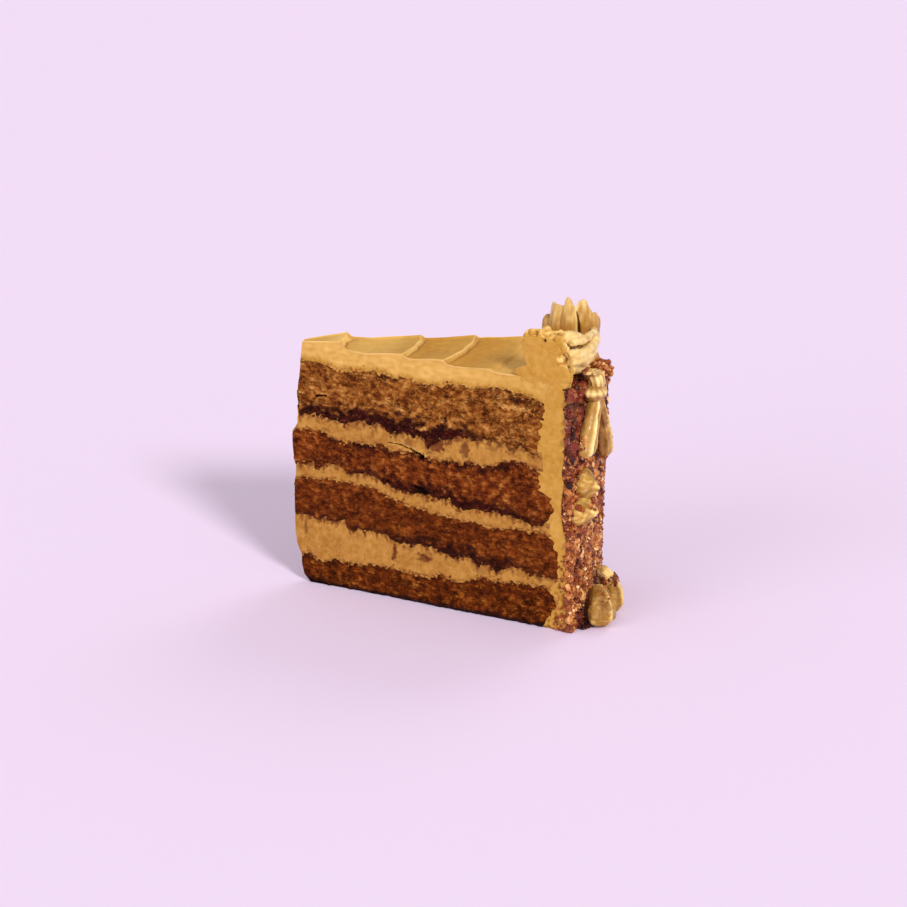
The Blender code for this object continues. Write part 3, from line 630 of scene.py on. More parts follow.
def icingTopHeight(radius, turn):
    far = np.clip(turn / sliceTurn, 0, 1)
    wander = 1.2 * noiseAt(turn / 7.0, radius * 0.0, seed=2.2) * np.sin(np.pi * far)
    starts = [first + (last - first) * far + wander for first, last in icingLook["lips"]]
    lipsHere = np.stack([np.zeros_like(far), *starts, np.full_like(far, 113.0)])
    asNear = np.zeros_like(radius)
    asFar = np.zeros_like(radius)
    nearLips = [0.0, *[first for first, _ in icingLook["lips"]], 113.0]
    farLips = [0.0, *[last for _, last in icingLook["lips"]], 113.0]
    for index in range(len(nearLips) - 1):
        inside = (radius >= lipsHere[index]) & (radius <= lipsHere[index + 1])
        share = (radius - lipsHere[index]) / np.maximum(lipsHere[index + 1] - lipsHere[index], 1e-6)
        asNear[inside] = (nearLips[index] + (nearLips[index + 1] - nearLips[index]) * share)[inside]
        asFar[inside] = (farLips[index] + (farLips[index + 1] - farLips[index]) * share)[inside]
    inner = np.sin(np.pi * far) ** 0.5
    for index, gap in enumerate(icingLook["lipGaps"], start=1):
        share = np.clip((radius - lipsHere[index]) / gap, 0, 1)
        narrow = gap + (icingLook["lipFall"] - gap) * inner
        moved = 1 - (1 - np.clip(share * gap / narrow, 0, 1)) ** 1.6
        falling = (share > 0) & (share < 1)
        asNear = np.where(falling, nearLips[index] + moved * gap, asNear)
        asFar = np.where(falling, farLips[index] + moved * gap, asFar)
    height = sum(line(icingLook["nearTop"], asNear + slip) * (1 - far) + line(icingLook["farTop"], asFar + slip) * far
                 for slip in (-0.24, -0.08, 0.08, 0.24)) / 4
    hollow = np.zeros_like(radius)
    for index in range(1, len(nearLips) - 1):
        share = np.clip((radius - lipsHere[index]) / (lipsHere[index + 1] - lipsHere[index]), 0, 1)
        inside = (radius > lipsHere[index]) & (radius <= lipsHere[index + 1])
        hollow = np.where(inside, np.sin(np.pi * share), hollow)
    # crests raise a thin lip that is painted as a highlight, creases sink past it and are painted as shade, and falls
    # are painted highlight on the slope past the lip
    crests, creases, falls = np.zeros_like(radius), np.zeros_like(radius), np.zeros_like(radius)
    for index, gap in enumerate(icingLook["lipGaps"], start=1):
        past = radius - lipsHere[index]
        narrow = gap + (icingLook["lipFall"] - gap) * inner
        low = 1.0 if index < 4 else 0.20
        crests += low * np.exp(-((past + 0.16) / 0.38) ** 2)
        creases += low * np.exp(-((past - narrow - 0.20) / 0.45) ** 2)
        falls += icingLook["fallPale"][index - 1] * np.exp(-((past - 0.45 * narrow) / (0.45 * narrow + 0.15)) ** 2)
    height = height - (0.7 * hollow * inner ** 2 + 0.30 * creases * inner) + 0.30 * crests * inner
    rim = np.exp(-((far - 0.985) / 0.02) ** 2) - 0.7 * np.exp(-((far - 0.93) / 0.03) ** 2)
    steps = radius - lipsHere
    past = np.min(np.where(steps[:-1] >= 0, steps[:-1], 200.0), axis=0)
    ahead = np.min(np.where(steps[1:-1] < 0, -steps[1:-1], 200.0), axis=0)
    return height + 0.30 * rim, crests * (0.4 + 0.6 * inner), creases * inner, falls * inner, past, ahead


def icingPlaces(along, rise, turn):
    look = icingLook
    corner = look["corner"]
    onTop = along <= corner
    share = np.clip(along / corner, 0, 1)
    topRadius = 5.8 + (113.0 - 5.8) * share
    topHeight = icingTopHeight(topRadius, turn)[0]
    side = np.array(look["side"])
    lengths = np.concatenate([[0], np.cumsum(np.hypot(*np.diff(side, axis=0).T))])
    down = np.clip((along - corner) / (1 - corner), 0, 1)
    sideRadius = np.interp(down * lengths[-1], lengths, side[:, 0])
    sideHeight = np.interp(down * lengths[-1], lengths, side[:, 1])
    outerRadius = np.where(onTop, topRadius, sideRadius)
    outerHeight = np.where(onTop, topHeight, sideHeight)
    hidden = look["hidden"]
    innerTopRadius = 4.6 + (108.6 - 4.6) * share
    innerTopHeight = borderHeight("icingFoot", innerTopRadius, turn) - hidden
    innerSideHeight = np.interp(down, [0, 0.06, 1], [88.1, 85.0, 0.0])
    innerSideRadius = line(layerEdge, innerSideHeight) - hidden
    innerRadius = np.where(onTop, innerTopRadius, innerSideRadius)
    innerHeight = np.where(onTop, innerTopHeight, innerSideHeight)
    return innerRadius + (outerRadius - innerRadius) * rise, innerHeight + (outerHeight - innerHeight) * rise


def makeIcing():
    look = icingLook
    piece = flatSheet("icing", look["columns"], look["rows"])
    along, rise = getValues(piece, "along"), getValues(piece, "rise")
    radius, height = icingPlaces(along, rise, np.zeros_like(along))
    movePoints(piece, toScene(radius, 0.0, height))
    turnThroughSlice(piece, look["turnSteps"])
    along, rise = getValues(piece, "along"), getValues(piece, "rise")
    turn = toCake(pointsOf(piece))[1]
    radius, height = icingPlaces(along, rise, turn)
    near, far = cutShare(turn)
    flatRadius, flatTurn = radius, turn
    out = -look["back"] - footFall(radius, height)
    onTop = along <= look["corner"]
    underRosette = smooth(radius, 96, 100) * (1 - smooth(radius, 119.5, 121)) * smooth(height, 90.5, 95) * near
    burr = smooth(rise, 0.93, 0.98) * onTop * (1 - underRosette)
    out += 0.35 * burr - 0.05 * underRosette
    height = height + 0.14 * burr * (near + far)
    inward = np.where(onTop, height - borderHeight("icingFoot", radius, turn), 9.0)
    reach = 1.0 + 3.0 * np.clip(noiseAt(radius / 1.2, turn * 0.3, seed=41.0) + 0.2, 0, None)
    smear = (1 - smooth(inward, 0.1, reach)) * np.clip(0.34 + 1.7 * noiseAt(radius / 1.4, height / 0.9, seed=43.0),
                                                       0, 0.85)
    low = (1 - smooth(height, 12, 27)) * smooth(radius, 108, 113) * (1 - onTop)
    smear = np.maximum(smear, low * np.clip(0.20 + 1.9 * noiseAt(radius / 1.5, height / 1.7, seed=47.0), 0, 0.8))
    angle = np.radians(turn) - halfTurn
    radius, turn, height = handMade(radius, turn, height)
    points = toScene(radius, turn, height)
    away = np.stack([-np.sin(angle), np.cos(angle), np.zeros_like(angle)], axis=1)
    points += away * ((far - near) * out * mm)[:, None]
    points[:, 2] = np.clip(points[:, 2], 0, None)
    movePoints(piece, points)
    setValues(piece, "cut", near + far)
    # painted shade on the top: in the creases and just past each lip
    upper = onTop * smooth(rise, 0.90, 1.0)
    crests, creases, falls, past, ahead = icingTopHeight(flatRadius, flatTurn)[1:]
    hollow = 0.20 * np.exp(-past / 4.0) * (1 - smooth(flatRadius, 84, 90)) * smooth(flatRadius, 22, 24) * (1 - near - far)
    setValues(piece, "smear", np.maximum(smear * (near + far), upper * np.maximum(0.80 * creases, hollow)))
    setValues(piece, "warm", upper * (1 - near - far) * smooth(flatRadius, 42, 58))
    strip = onTop * smooth(inward, 0.5, 3.0) * (1 - 0.5 * smooth(radius, 70, 112))
    grain = noiseAt(flatRadius / 3.0, flatTurn, height / 1.6, seed=45.0)
    # painted highlight along the raised burr at the top of both cuts; the cut strip under the top is lighter, fading
    # towards the rim
    pale = np.maximum(1.0 * burr, (0.30 + 0.3 * grain) * strip) * (near + far)
    # painted light on the top: lighter ahead of each lip, on the first stroke and from the fourth lip to the rim, with
    # the crest and fall highlights
    rising = (0.18 + 0.5 * (flatRadius < 22.2)) * np.exp(-ahead / 9.0) * (1 - near - far) * onTop
    first = (0.26 * (1 - smooth(flatRadius, 40, 52)) + 0.36 * smooth(flatRadius, 84, 92)) * (1 - near - far)
    pale = np.maximum(pale, upper * np.max([rising, first, crests, falls], axis=0))
    setValues(piece, "pale", np.clip(pale, 0, 1))
    group = groupPoints(piece, "cutFaces", near + far)
    roughen(piece, "CLOUDS", 14.0, 0.9, group, noise_depth=1)
    roughen(piece, "CLOUDS", 1.6, 0.14, group, noise_depth=2)
    applyAll(piece)
    points = pointsOf(piece)
    points[:, 2] = np.clip(points[:, 2], 0, None)
    movePoints(piece, points)
    smoothShade(piece)
    finishPiece(piece, creamPaint, "cream", "icing")
    print("icing", len(piece.data.polygons), "faces")


makeIcing()

# piped cream
pipedLook = {"base": (200, 152, 72), "dark": (178, 126, 48), "light": (254, 226, 152), "smear": (112, 58, 14),
             "mottle": 0.16, "gloss": (0.20, 0.36), "shine": 0.30, "glow": 0.06, "bump": 0.16}
# a browner, darker cream for the foot shells and kisses, darker partly as painted shade
brownShadedLook = {"base": (180, 130, 46), "dark": (150, 98, 26), "light": (250, 218, 140), "smear": (98, 46, 12),
            "mottle": 0.24, "gloss": (0.30, 0.50), "shine": 0.14, "glow": 0.05, "bump": 0.45}
pipedPaint = creamMaterial("pipedCream", pipedLook)
brownShadedPaint = creamMaterial("brownShadedCream", brownShadedLook)


def puff(name, around, up, shape):
    startFresh()
    bpy.ops.mesh.primitive_uv_sphere_add(segments=around, ring_count=up, radius=1.0, location=(0, 0, 0))
    piece = bpy.context.object
    piece.name = name
    ball = pointsOf(piece)
    alongUp = np.arccos(np.clip(-ball[:, 2], -1, 1)) / np.pi
    swirl = np.arctan2(ball[:, 1], ball[:, 0])
    setValues(piece, "along", alongUp)
    setValues(piece, "swirl", swirl)
    movePoints(piece, shape(alongUp, swirl))
    return piece


def slab(name, shape, cuts=27):
    startFresh()
    bpy.ops.mesh.primitive_cube_add(size=2, location=(0, 0, 0))
    piece = bpy.context.object
    piece.name = name
    bpy.ops.object.mode_set(mode="EDIT")
    bpy.ops.mesh.select_all(action="SELECT")
    bpy.ops.mesh.subdivide(number_cuts=cuts)
    bpy.ops.object.mode_set(mode="OBJECT")
    movePoints(piece, shape(*pointsOf(piece).T))
    return piece


def pipeCream(name, stations, flutes=6, groove=0.22, turns=1.0, steps=60):
    startFresh()
    sectionLine = bpy.data.curves.new(f"{name}Nozzle", "CURVE")
    sectionLine.dimensions = "2D"
    outline = sectionLine.splines.new("NURBS")
    outline.points.add(4 * flutes - 1)
    for index, point in enumerate(outline.points):
        reach = 1.0 - groove * (0.0, 0.42, 1.0, 0.42)[index % 4]
        angle = -math.tau * index / (4 * flutes)
        point.co = (reach * math.cos(angle), reach * math.sin(angle), 0, 1)
    outline.use_cyclic_u = True
    outline.order_u = 3
    sectionLine.resolution_u = 4
    section = bpy.data.objects.new(f"{name}Nozzle", sectionLine)
    bpy.context.scene.collection.objects.link(section)
    rows = np.array(stations, dtype=float)
    share = np.linspace(0, len(rows) - 1, steps)
    # a smooth line through the stations
    knots = np.arange(len(rows))
    bent = np.stack([np.interp(share, knots, rows[:, axis]) for axis in range(rows.shape[1])], axis=1)
    for again in range(3):
        bent[1:-1] = (bent[:-2] + 2 * bent[1:-1] + bent[2:]) / 4
    pathLine = bpy.data.curves.new(name, "CURVE")
    pathLine.dimensions = "3D"
    pathLine.bevel_mode = "OBJECT"
    pathLine.bevel_object = section
    pathLine.use_fill_caps = True
    path = pathLine.splines.new("POLY")
    path.points.add(steps - 1)
    for index, point in enumerate(path.points):
        radius, turn, height, thickness = bent[index]
        point.co = (*onCake(radius, turn, height), 1)
        point.radius = thickness * mm
        point.tilt = math.tau * turns * index / steps
    piece = bpy.data.objects.new(name, pathLine)
    bpy.context.scene.collection.objects.link(piece)
    startFresh()
    piece.select_set(True)
    bpy.context.view_layer.objects.active = piece
    bpy.ops.object.convert(target="MESH")
    piece = bpy.context.object
    bpy.data.objects.remove(section)
    return piece


def joinPieces(name, pieces):
    startFresh()
    for piece in pieces:
        piece.select_set(True)
    bpy.context.view_layer.objects.active = pieces[0]
    bpy.ops.object.join()
    pieces[0].name = name
    return pieces[0]


def meltTogether(piece, voxel=0.28, rounds=4):
    melt = piece.modifiers.new("melt", "REMESH")
    melt.mode = "VOXEL"
    melt.voxel_size = voxel * mm
    settle = piece.modifiers.new("settle", "SMOOTH")
    settle.factor = 0.5
    settle.iterations = rounds
    applyAll(piece)
    return piece


# what passes the knife is pushed back onto its plane, and the skin is melted again
def pressFlat(piece, turn, inside):
    angle = math.radians(turn) - halfTurn
    across = np.array([-math.sin(angle), math.cos(angle), 0.0]) * inside
    points = pointsOf(piece)
    past = np.minimum((points - (tipX, tipY, 0)) @ across, 0)
    movePoints(piece, points - across * past[:, None])
    meltTogether(piece, 0.25, 2)
    gap = (pointsOf(piece) - (tipX, tipY, 0)) @ across / mm
    setValues(piece, "cut", (gap < 0.2).astype(float))
    return gap, across


def lumpShape(centre, sizes, lean=(0.0, 0.0)):
    def shape(along, swirl):
        ring, rise = np.sin(np.pi * along), -np.cos(np.pi * along)
        return np.array(centre) + np.stack([
            sizes[0] * ring * np.cos(swirl) + lean[0] * rise, sizes[1] * ring * np.sin(swirl) + lean[1] * rise,
            sizes[2] * rise], axis=1) * mm
    return shape


# a leaf of the crown: its top edge as (facing, height) and its bends as (facing, depth, spread)
def petalShape(centre, look):
    def shape(across, depth, rise):
        first, last = look["top"][0][0], look["top"][-1][0]
        share, up = (across + 1) / 2, (rise + 1) / 2
        facing = first + (last - first) * share + look.get("shift", 0.0) * (1 - share) * (1 - up ** 2)
        height = line(look["top"], facing) * up
        half = look["thick"] / 2 * np.sqrt(1 - np.abs(across) ** 5 + 1e-9) * (1 - 0.50 * up ** 3)
        out = line(crownLook["outer"], height) + look.get("out", 0.0) + depth * half
        for bendAt, bend, width in look.get("bends", ()):
            out = out + bend * np.exp(-((facing - bendAt) / width) ** 2) * smooth(up, 0.05, 0.6)
        angle = np.radians(facing)
        return np.array(centre) + np.stack([out * np.cos(angle), out * np.sin(angle), height], axis=1) * mm

    return shape


crownLook = {"centre": (110.0, 29.0, 98.0), "outer": [(0, 7.0), (3, 8.4), (8, 9.2), (13, 8.6), (20, 7.8)], "petals": [
    {"top": [(191, 10.5), (194, 14.2), (200, 15.5), (210, 15.8), (224, 15.6), (236, 15.6), (246, 15.0), (250, 15.7),
             (254, 17.2), (258, 18.9), (262, 19.4), (268, 18.8), (274, 17.4), (280, 15.5), (285, 12.6), (289, 9.0)],
     "thick": 2.7, "bends": [(244, -0.8, 6.0), (222, 0.5, 9.0), (264, 0.5, 8.0), (286, 0.5, 4.0)]},
    {"top": [(281, 13.4), (284, 16.0), (288, 17.0), (294, 17.8), (301, 18.3), (307, 18.3), (313, 17.2), (319, 15.6),
             (325, 13.6), (330, 10.4)],
     "thick": 2.5, "shift": 15.0, "out": 0.1, "bends": [(318, -0.8, 2.6), (306, 0.4, 6.0), (327, 0.6, 3.0)]},
    {"top": [(328, 10.8), (332, 12.2), (338, 12.6), (345, 12.0), (352, 10.8), (360, 9.4), (368, 7.6), (374, 5.6)],
     "thick": 2.2, "out": 0.0, "bends": [(352, -0.6, 3.0), (340, 0.4, 4.0)]},
    {"top": [(372, 5.0), (380, 8.4), (388, 9.4), (398, 8.6), (408, 5.0)], "thick": 2.2, "out": -0.4}],
    "lobes": [(190, 10.4, 4.8, 2.5, 5.4), (204, 9.0, 3.2, 2.2, 4.2)]}


def makeCrown():
    centre = onCake(*crownLook["centre"])
    pieces = [slab(f"crownPetal{index}", petalShape(centre, look)) for index, look in enumerate(crownLook["petals"])]
    for index, (facing, out, up, wide, tall) in enumerate(crownLook["lobes"]):
        angle = math.radians(facing)
        middle = np.array(centre) + np.array([out * math.cos(angle), out * math.sin(angle), up]) * mm
        pieces.append(puff(f"crownLobe{index}", 28, 24, lumpShape(middle, (wide, wide, tall))))
    core = puff("crownCore", 40, 24, lambda along, swirl: np.array(centre) + np.stack([
        line([(0, 0), (0.12, 8.4), (0.35, 7.0), (0.6, 5.2), (0.85, 3.4), (1, 0)], along) * np.cos(swirl),
        line([(0, 0), (0.12, 8.4), (0.35, 7.0), (0.6, 5.2), (0.85, 3.4), (1, 0)], along) * np.sin(swirl),
        line([(0, 0.0), (0.12, 0.8), (0.35, 3.6), (0.6, 7.6), (0.85, 10.6), (1, 11.4)], along)], axis=1) * mm)
    crown = meltTogether(joinPieces("crown", [*pieces, core]), 0.22, 2)
    pressFlat(crown, sliceTurn, -1)
    roughen(crown, "CLOUDS", 3.4, 0.5, noise_depth=2)
    applyAll(crown)
    beside = (pointsOf(crown) - centre) / mm
    facing = np.degrees(np.arctan2(beside[:, 1], beside[:, 0])) % 360
    out = np.hypot(beside[:, 0], beside[:, 1])
    # painted shade in the deep grooves, between the main and third leaf and towards the foot, brown streaks that are
    # partly painted shade, and painted highlights on the leaf edges and higher up
    deep = 1 - smooth(out - line(crownLook["outer"], beside[:, 2]), -1.6, -0.3)
    groove = smooth(facing, 284, 288) * (1 - smooth(facing, 300, 305))
    streaks = np.clip(1.1 * noiseAt(facing / 11.0, beside[:, 2] / 6.0, seed=14.0), 0, 0.30)
    streaks += 0.22 * np.exp(-((facing - 214) / 12.0) ** 2) * smooth(beside[:, 2], 7, 12)
    edge = np.exp(-((facing - 284) / 3.0) ** 2) + np.exp(-((facing - 329) / 2.6) ** 2) + np.exp(
        -((facing - 214) / 5.0) ** 2)
    foot = 0.42 * (1 - smooth(beside[:, 2], 6, 13))
    light = 0.12 - 0.4 * foot + 0.75 * edge + 0.20 * smooth(beside[:, 2], 9, 19) + 0.5 * noiseAt(
        facing / 9.0, beside[:, 2] / 5.0, seed=16.0)
    setValues(crown, "pale", np.clip(light, 0, 0.95) * (1 - deep))
    brown = np.maximum(deep * (0.30 + 0.50 * groove), np.maximum(streaks, foot))
    setValues(crown, "smear", np.clip(brown, 0, 1))
    smoothShade(crown, 75)
    finishPiece(crown, pipedPaint, "cream", "crown")
    print("crown", len(crown.data.polygons), "faces")


makeCrown()

# outline of the cut face from its middle, as (share of the way up, reach, height), to the tip side and to the rim
rosetteLook = {
    "centre": (108.8, 0.0, 97.9),
    "tipSide": [(0, 0, -4.6), (0.05, 8.2, -4.0), (0.12, 9.6, -1.0), (0.18, 10.6, 1.2), (0.26, 9.8, 3.2),
                (0.33, 5.6, 4.7), (0.41, 6.6, 6.8), (0.51, 7.1, 9.2), (0.61, 7.4, 11.4), (0.71, 8.4, 13.4),
                (0.81, 6.6, 15.2), (0.9, 4.0, 16.0), (1, 0, 16.1)],
    "rimSide": [(0, 0, -4.6), (0.05, 6.2, -4.0), (0.12, 7.2, -1.0), (0.18, 7.4, 1.2), (0.26, 7.2, 3.2),
                (0.33, 6.9, 4.7), (0.41, 6.6, 6.6), (0.51, 7.0, 9.4), (0.61, 8.2, 11.6), (0.71, 6.9, 13.8),
                (0.81, 5.2, 15.2), (0.9, 2.8, 16.0), (1, 0, 16.1)],
    "lumps": [(-4.3, 2.1, 17.1, 1.7, 1.3), (-6.5, 1.8, 15.4, 1.4, 1.6), (-1.0, 1.5, 16.8, 0.8, 2.3),
              (0.6, 3.9, 16.6, 2.3, 3.2), (1.2, 3.4, 18.0, 0.7, 2.4), (3.0, 2.4, 16.2, 1.3, 1.5),
              (6.4, 1.7, 16.2, 1.5, 1.2), (7.0, 1.3, 14.5, 1.4, 1.4), (8.9, 1.3, 12.8, 1.2, 1.5),
              (-3.4, 4.4, 15.4, 2.6, 2.6), (1.6, 5.4, 14.8, 3.0, 3.2), (5.2, 4.6, 14.4, 2.6, 3.2),
              (8.4, 1.4, 1.6, 4.0, 4.6), (8.9, 2.6, -1.2, 2.6, 3.2), (7.2, 2.6, 8.2, 2.6, 2.4),
              (-8.6, 1.0, 1.6, 2.6, 1.7)],
    "loops": [[(7.0, 1.5, 9.8, 0.5), (8.2, 1.0, 11.1, 0.6), (9.3, 0.9, 12.0, 0.65), (10.5, 0.9, 11.8, 0.65),
               (11.5, 0.9, 10.2, 0.6), (12.3, 0.9, 7.6, 0.6), (12.7, 0.9, 5.2, 0.6), (12.6, 0.9, 3.0, 0.6),
               (11.9, 0.9, 1.2, 0.6), (10.8, 0.9, -0.2, 0.6)],
              [(3.7, 2.4, 16.0, 0.5), (5.2, 2.4, 18.0, 0.55), (7.3, 2.4, 19.0, 0.6), (8.4, 2.4, 17.8, 0.6),
               (7.4, 2.6, 16.4, 0.5), (5.8, 2.6, 15.6, 0.5)],
              [(-6.6, 2.0, 15.6, 0.45), (-5.8, 2.0, 17.6, 0.5), (-4.0, 2.0, 18.4, 0.5), (-2.6, 2.0, 17.4, 0.45)]],
    "foot": [(101.4, 2.6, 100.0, 2.8), (105.0, 4.8, 100.4, 3.3), (110.5, 5.0, 100.6, 3.3), (115.0, 3.6, 100.6, 3.0)],
}


def fromRosette(aside, behind, up):
    radius = rosetteLook["centre"][0] + aside
    return onCake(radius, math.degrees(behind / radius), rosetteLook["centre"][2] + up)


def makeRosette():
    look = rosetteLook
    centre = np.array(onCake(*look["centre"]))
    outward, across = np.array(outwardAt(0.0)), np.array([math.sin(halfTurn), math.cos(halfTurn), 0.0])

    def bodyShape(along, swirl):
        share = 0.5 + 0.5 * np.cos(swirl)
        reach = line(look["tipSide"], along) * (1 - share) + line(look["rimSide"], along) * share
        up = line(look["tipSide"], along, 2) * (1 - share) + line(look["rimSide"], along, 2) * share
        flutes = 1 - 0.16 * np.abs(np.sin(swirl)) * (0.5 - 0.5 * np.cos(9 * swirl + 4.0 * along))
        behind = reach * flutes * np.sin(swirl) * 0.95
        return (centre + outward * (reach * np.cos(swirl) * mm)[:, None] + across * (behind * mm)[:, None]
                + np.array([0, 0, 1]) * (up * mm)[:, None])

    pieces = [puff("rosetteBody", 72, 60, bodyShape)]
    for index, (aside, behind, up, wide, tall) in enumerate(look["lumps"]):
        pieces.append(puff(f"rosetteLump{index}", 24, 20, lumpShape(fromRosette(aside, behind, up),
                                                                    (wide, wide, tall))))
    for index, loop in enumerate(look["loops"]):
        loop = [(*cakePlace(fromRosette(aside, behind, up)), thick) for aside, behind, up, thick in loop]
        pieces.append(pipeCream(f"rosetteLoop{index}", loop, 4, 0.0, 0.0, 50))
    pieces.append(pipeCream("rosetteFoot", look["foot"], 6, 0.18, 0.6))
    rosette = meltTogether(joinPieces("rosette", pieces), 0.22, 1)
    gap, away = pressFlat(rosette, 0.0, 1)
    points = pointsOf(rosette)
    radius, turn, height = toCake(points)
    aside = np.abs(radius - look["centre"][0] - 0.5)
    dive = np.maximum(1 - smooth(height, 92.8, 99.4), smooth(aside, 7.0, 10.6) * (1 - smooth(height, 97.6, 99.0)))
    # a hole and a slot are pressed in, and their dark is painted shade
    hole = np.exp(-(((radius - 110.5) / 0.45) ** 2 + ((height - 113.0) / 0.45) ** 2))
    slot = np.exp(-(((radius - 119.2) / 0.8) ** 2 + ((height - 106.8) / 1.8) ** 2))
    flat = 1 - smooth(gap, 0.1, 1.4)
    points += away * ((0.55 * dive + 1.6 * hole + 3.2 * slot) * flat * mm)[:, None]
    movePoints(rosette, points)
    setValues(rosette, "pit", np.maximum(hole * 1.2 * (gap < 1.0), smooth(slot, 0.25, 0.8)))
    roughen(rosette, "CLOUDS", 14.0, 0.9, groupPoints(rosette, "cutFace", flat), noise_depth=1)
    roughen(rosette, "CLOUDS", 2.4, 0.30, noise_depth=2)
    ruffled = (1 - flat) * smooth(height, 107, 110)
    roughen(rosette, "CLOUDS", 1.5, 1.3, groupPoints(rosette, "ruffled", ruffled), noise_depth=2)
    applyAll(rosette)
    smoothShade(rosette, 60)
    radius, turn, height = toCake(pointsOf(rosette))
    curls = smooth(gap, 0.5, 1.6)
    pale = curls * np.clip(0.55 + 0.9 * noiseAt(radius / 1.6, turn / 1.2, height / 1.4, seed=9.0), 0, 0.95)
    # a painted white highlight beside the slot
    highlightPatch = 1 - smooth(np.hypot((radius - 116.9) / 1.5, (height - 106.6) / 1.3), 0.5, 1.2)
    setValues(rosette, "pale", np.maximum(pale, 0.9 * highlightPatch * (gap < 2.5) * np.clip(
        0.7 + 1.4 * noiseAt(radius / 0.9, height / 0.8, seed=33.0), 0, 1)))
    # painted shade in the slot and in the folds of the curls
    slit = 1 - smooth(np.hypot(radius - 119.2, (height - 106.8) / 1.9), 0.8, 1.7)
    folds = 0.6 * curls * np.clip(1.6 * noiseAt(radius / 1.3, turn, height / 1.3, seed=24.0) - 0.1, 0, 1)
    setValues(rosette, "smear", np.clip(np.maximum(0.95 * slit * smooth(gap, 0.2, 0.8), folds), 0, 1))
    finishPiece(rosette, creamPaint, "cream", "rosette")
    print("rosette", len(rosette.data.polygons), "faces")


makeRosette()

# folds of the two ropes along the rim, each as (radius, turn, height, thickness)
ropeLooks = {
    "rimRopeLower": {"node": "rim_rope_lower", "folds": [
        [(115.8, 4.4, 106.4, 1.6), (117.0, 6.0, 105.2, 2.5), (118.0, 10.0, 103.6, 2.4), (118.6, 14.0, 103.4, 2.3),
         (118.4, 19.0, 103.4, 2.1), (117.8, 24.0, 103.2, 1.6)],
        [(117.0, 4.4, 103.4, 1.8), (118.2, 8.0, 101.7, 2.7), (119.0, 12.0, 101.3, 2.2), (119.2, 15.5, 101.6, 1.6),
         (118.6, 18.5, 101.8, 1.0)],
        [(117.2, 4.6, 99.9, 1.6), (118.4, 8.5, 98.4, 1.6), (118.8, 11.4, 98.2, 1.1)],
        [(114.2, 6.0, 101.2, 2.8), (114.4, 13.0, 101.0, 3.2), (114.6, 21.0, 100.8, 2.8)]]},
    "rimRopeUpper": {"node": "rim_rope_upper", "folds": [
        [(112.2, 4.4, 111.6, 1.3), (113.4, 6.0, 111.3, 2.5), (114.5, 8.8, 110.4, 2.6), (115.4, 11.0, 108.9, 2.1),
         (116.0, 13.0, 107.6, 1.4)],
        [(115.2, 11.8, 107.6, 1.3), (116.6, 14.0, 107.2, 1.7), (117.3, 17.0, 106.6, 1.7),
         (117.6, 20.5, 105.8, 1.5), (117.2, 24.4, 105.2, 1.1)],
        [(115.6, 6.4, 109.4, 1.2), (116.5, 8.4, 108.7, 1.4), (117.2, 11.0, 107.8, 1.2), (117.6, 13.8, 107.2, 0.8)],
        [(113.4, 4.4, 110.0, 1.5), (114.6, 4.6, 107.8, 2.0), (115.4, 4.8, 106.4, 1.6)],
        [(112.6, 8.0, 106.6, 2.4), (113.6, 13.0, 104.6, 2.6), (114.4, 19.0, 103.8, 2.2)]]},
}
for ropeName, ropeLook in ropeLooks.items():
    folds = [pipeCream(f"{ropeName}Fold{index}", stations, 4, 0.10, 0.3, 60)
             for index, stations in enumerate(ropeLook["folds"])]
    rope = meltTogether(joinPieces(ropeName, folds), 0.22, 3)
    radius, turn, height = toCake(pointsOf(rope))
    curdled = (1 - smooth(turn, 8.5, 11)) * smooth(height, 105.5, 108)
    roughen(rope, "CLOUDS", 5.0, 0.7, noise_depth=1)
    roughen(rope, "CLOUDS", 0.9, 0.24, noise_depth=2)
    roughen(rope, "CLOUDS", 1.4, 1.2, groupPoints(rope, "curdled", curdled), noise_depth=2)
    applyAll(rope)
    radius, turn, height = toCake(pointsOf(rope))
    # painted shade in the crevice under the upper fold, and the rope paler in blotches, partly the cream's colour and
    # partly painted sheen
    crevice = smooth(turn, 6, 8) * (1 - smooth(turn, 14, 16)) * np.exp(-((height - 106.4) / 1.0) ** 2)
    setValues(rope, "smear", 0.9 * crevice * (1 - smooth(radius, 115.8, 117.6)))
    setValues(rope, "pale", np.clip(0.50 + 0.6 * noiseAt(radius / 3.0, turn / 2.0, height / 1.6), 0.05, 0.95))
    smoothShade(rope, 80)
    finishPiece(rope, pipedPaint, "cream", ropeLook["node"])
    print(ropeName, len(rope.data.polygons), "faces")

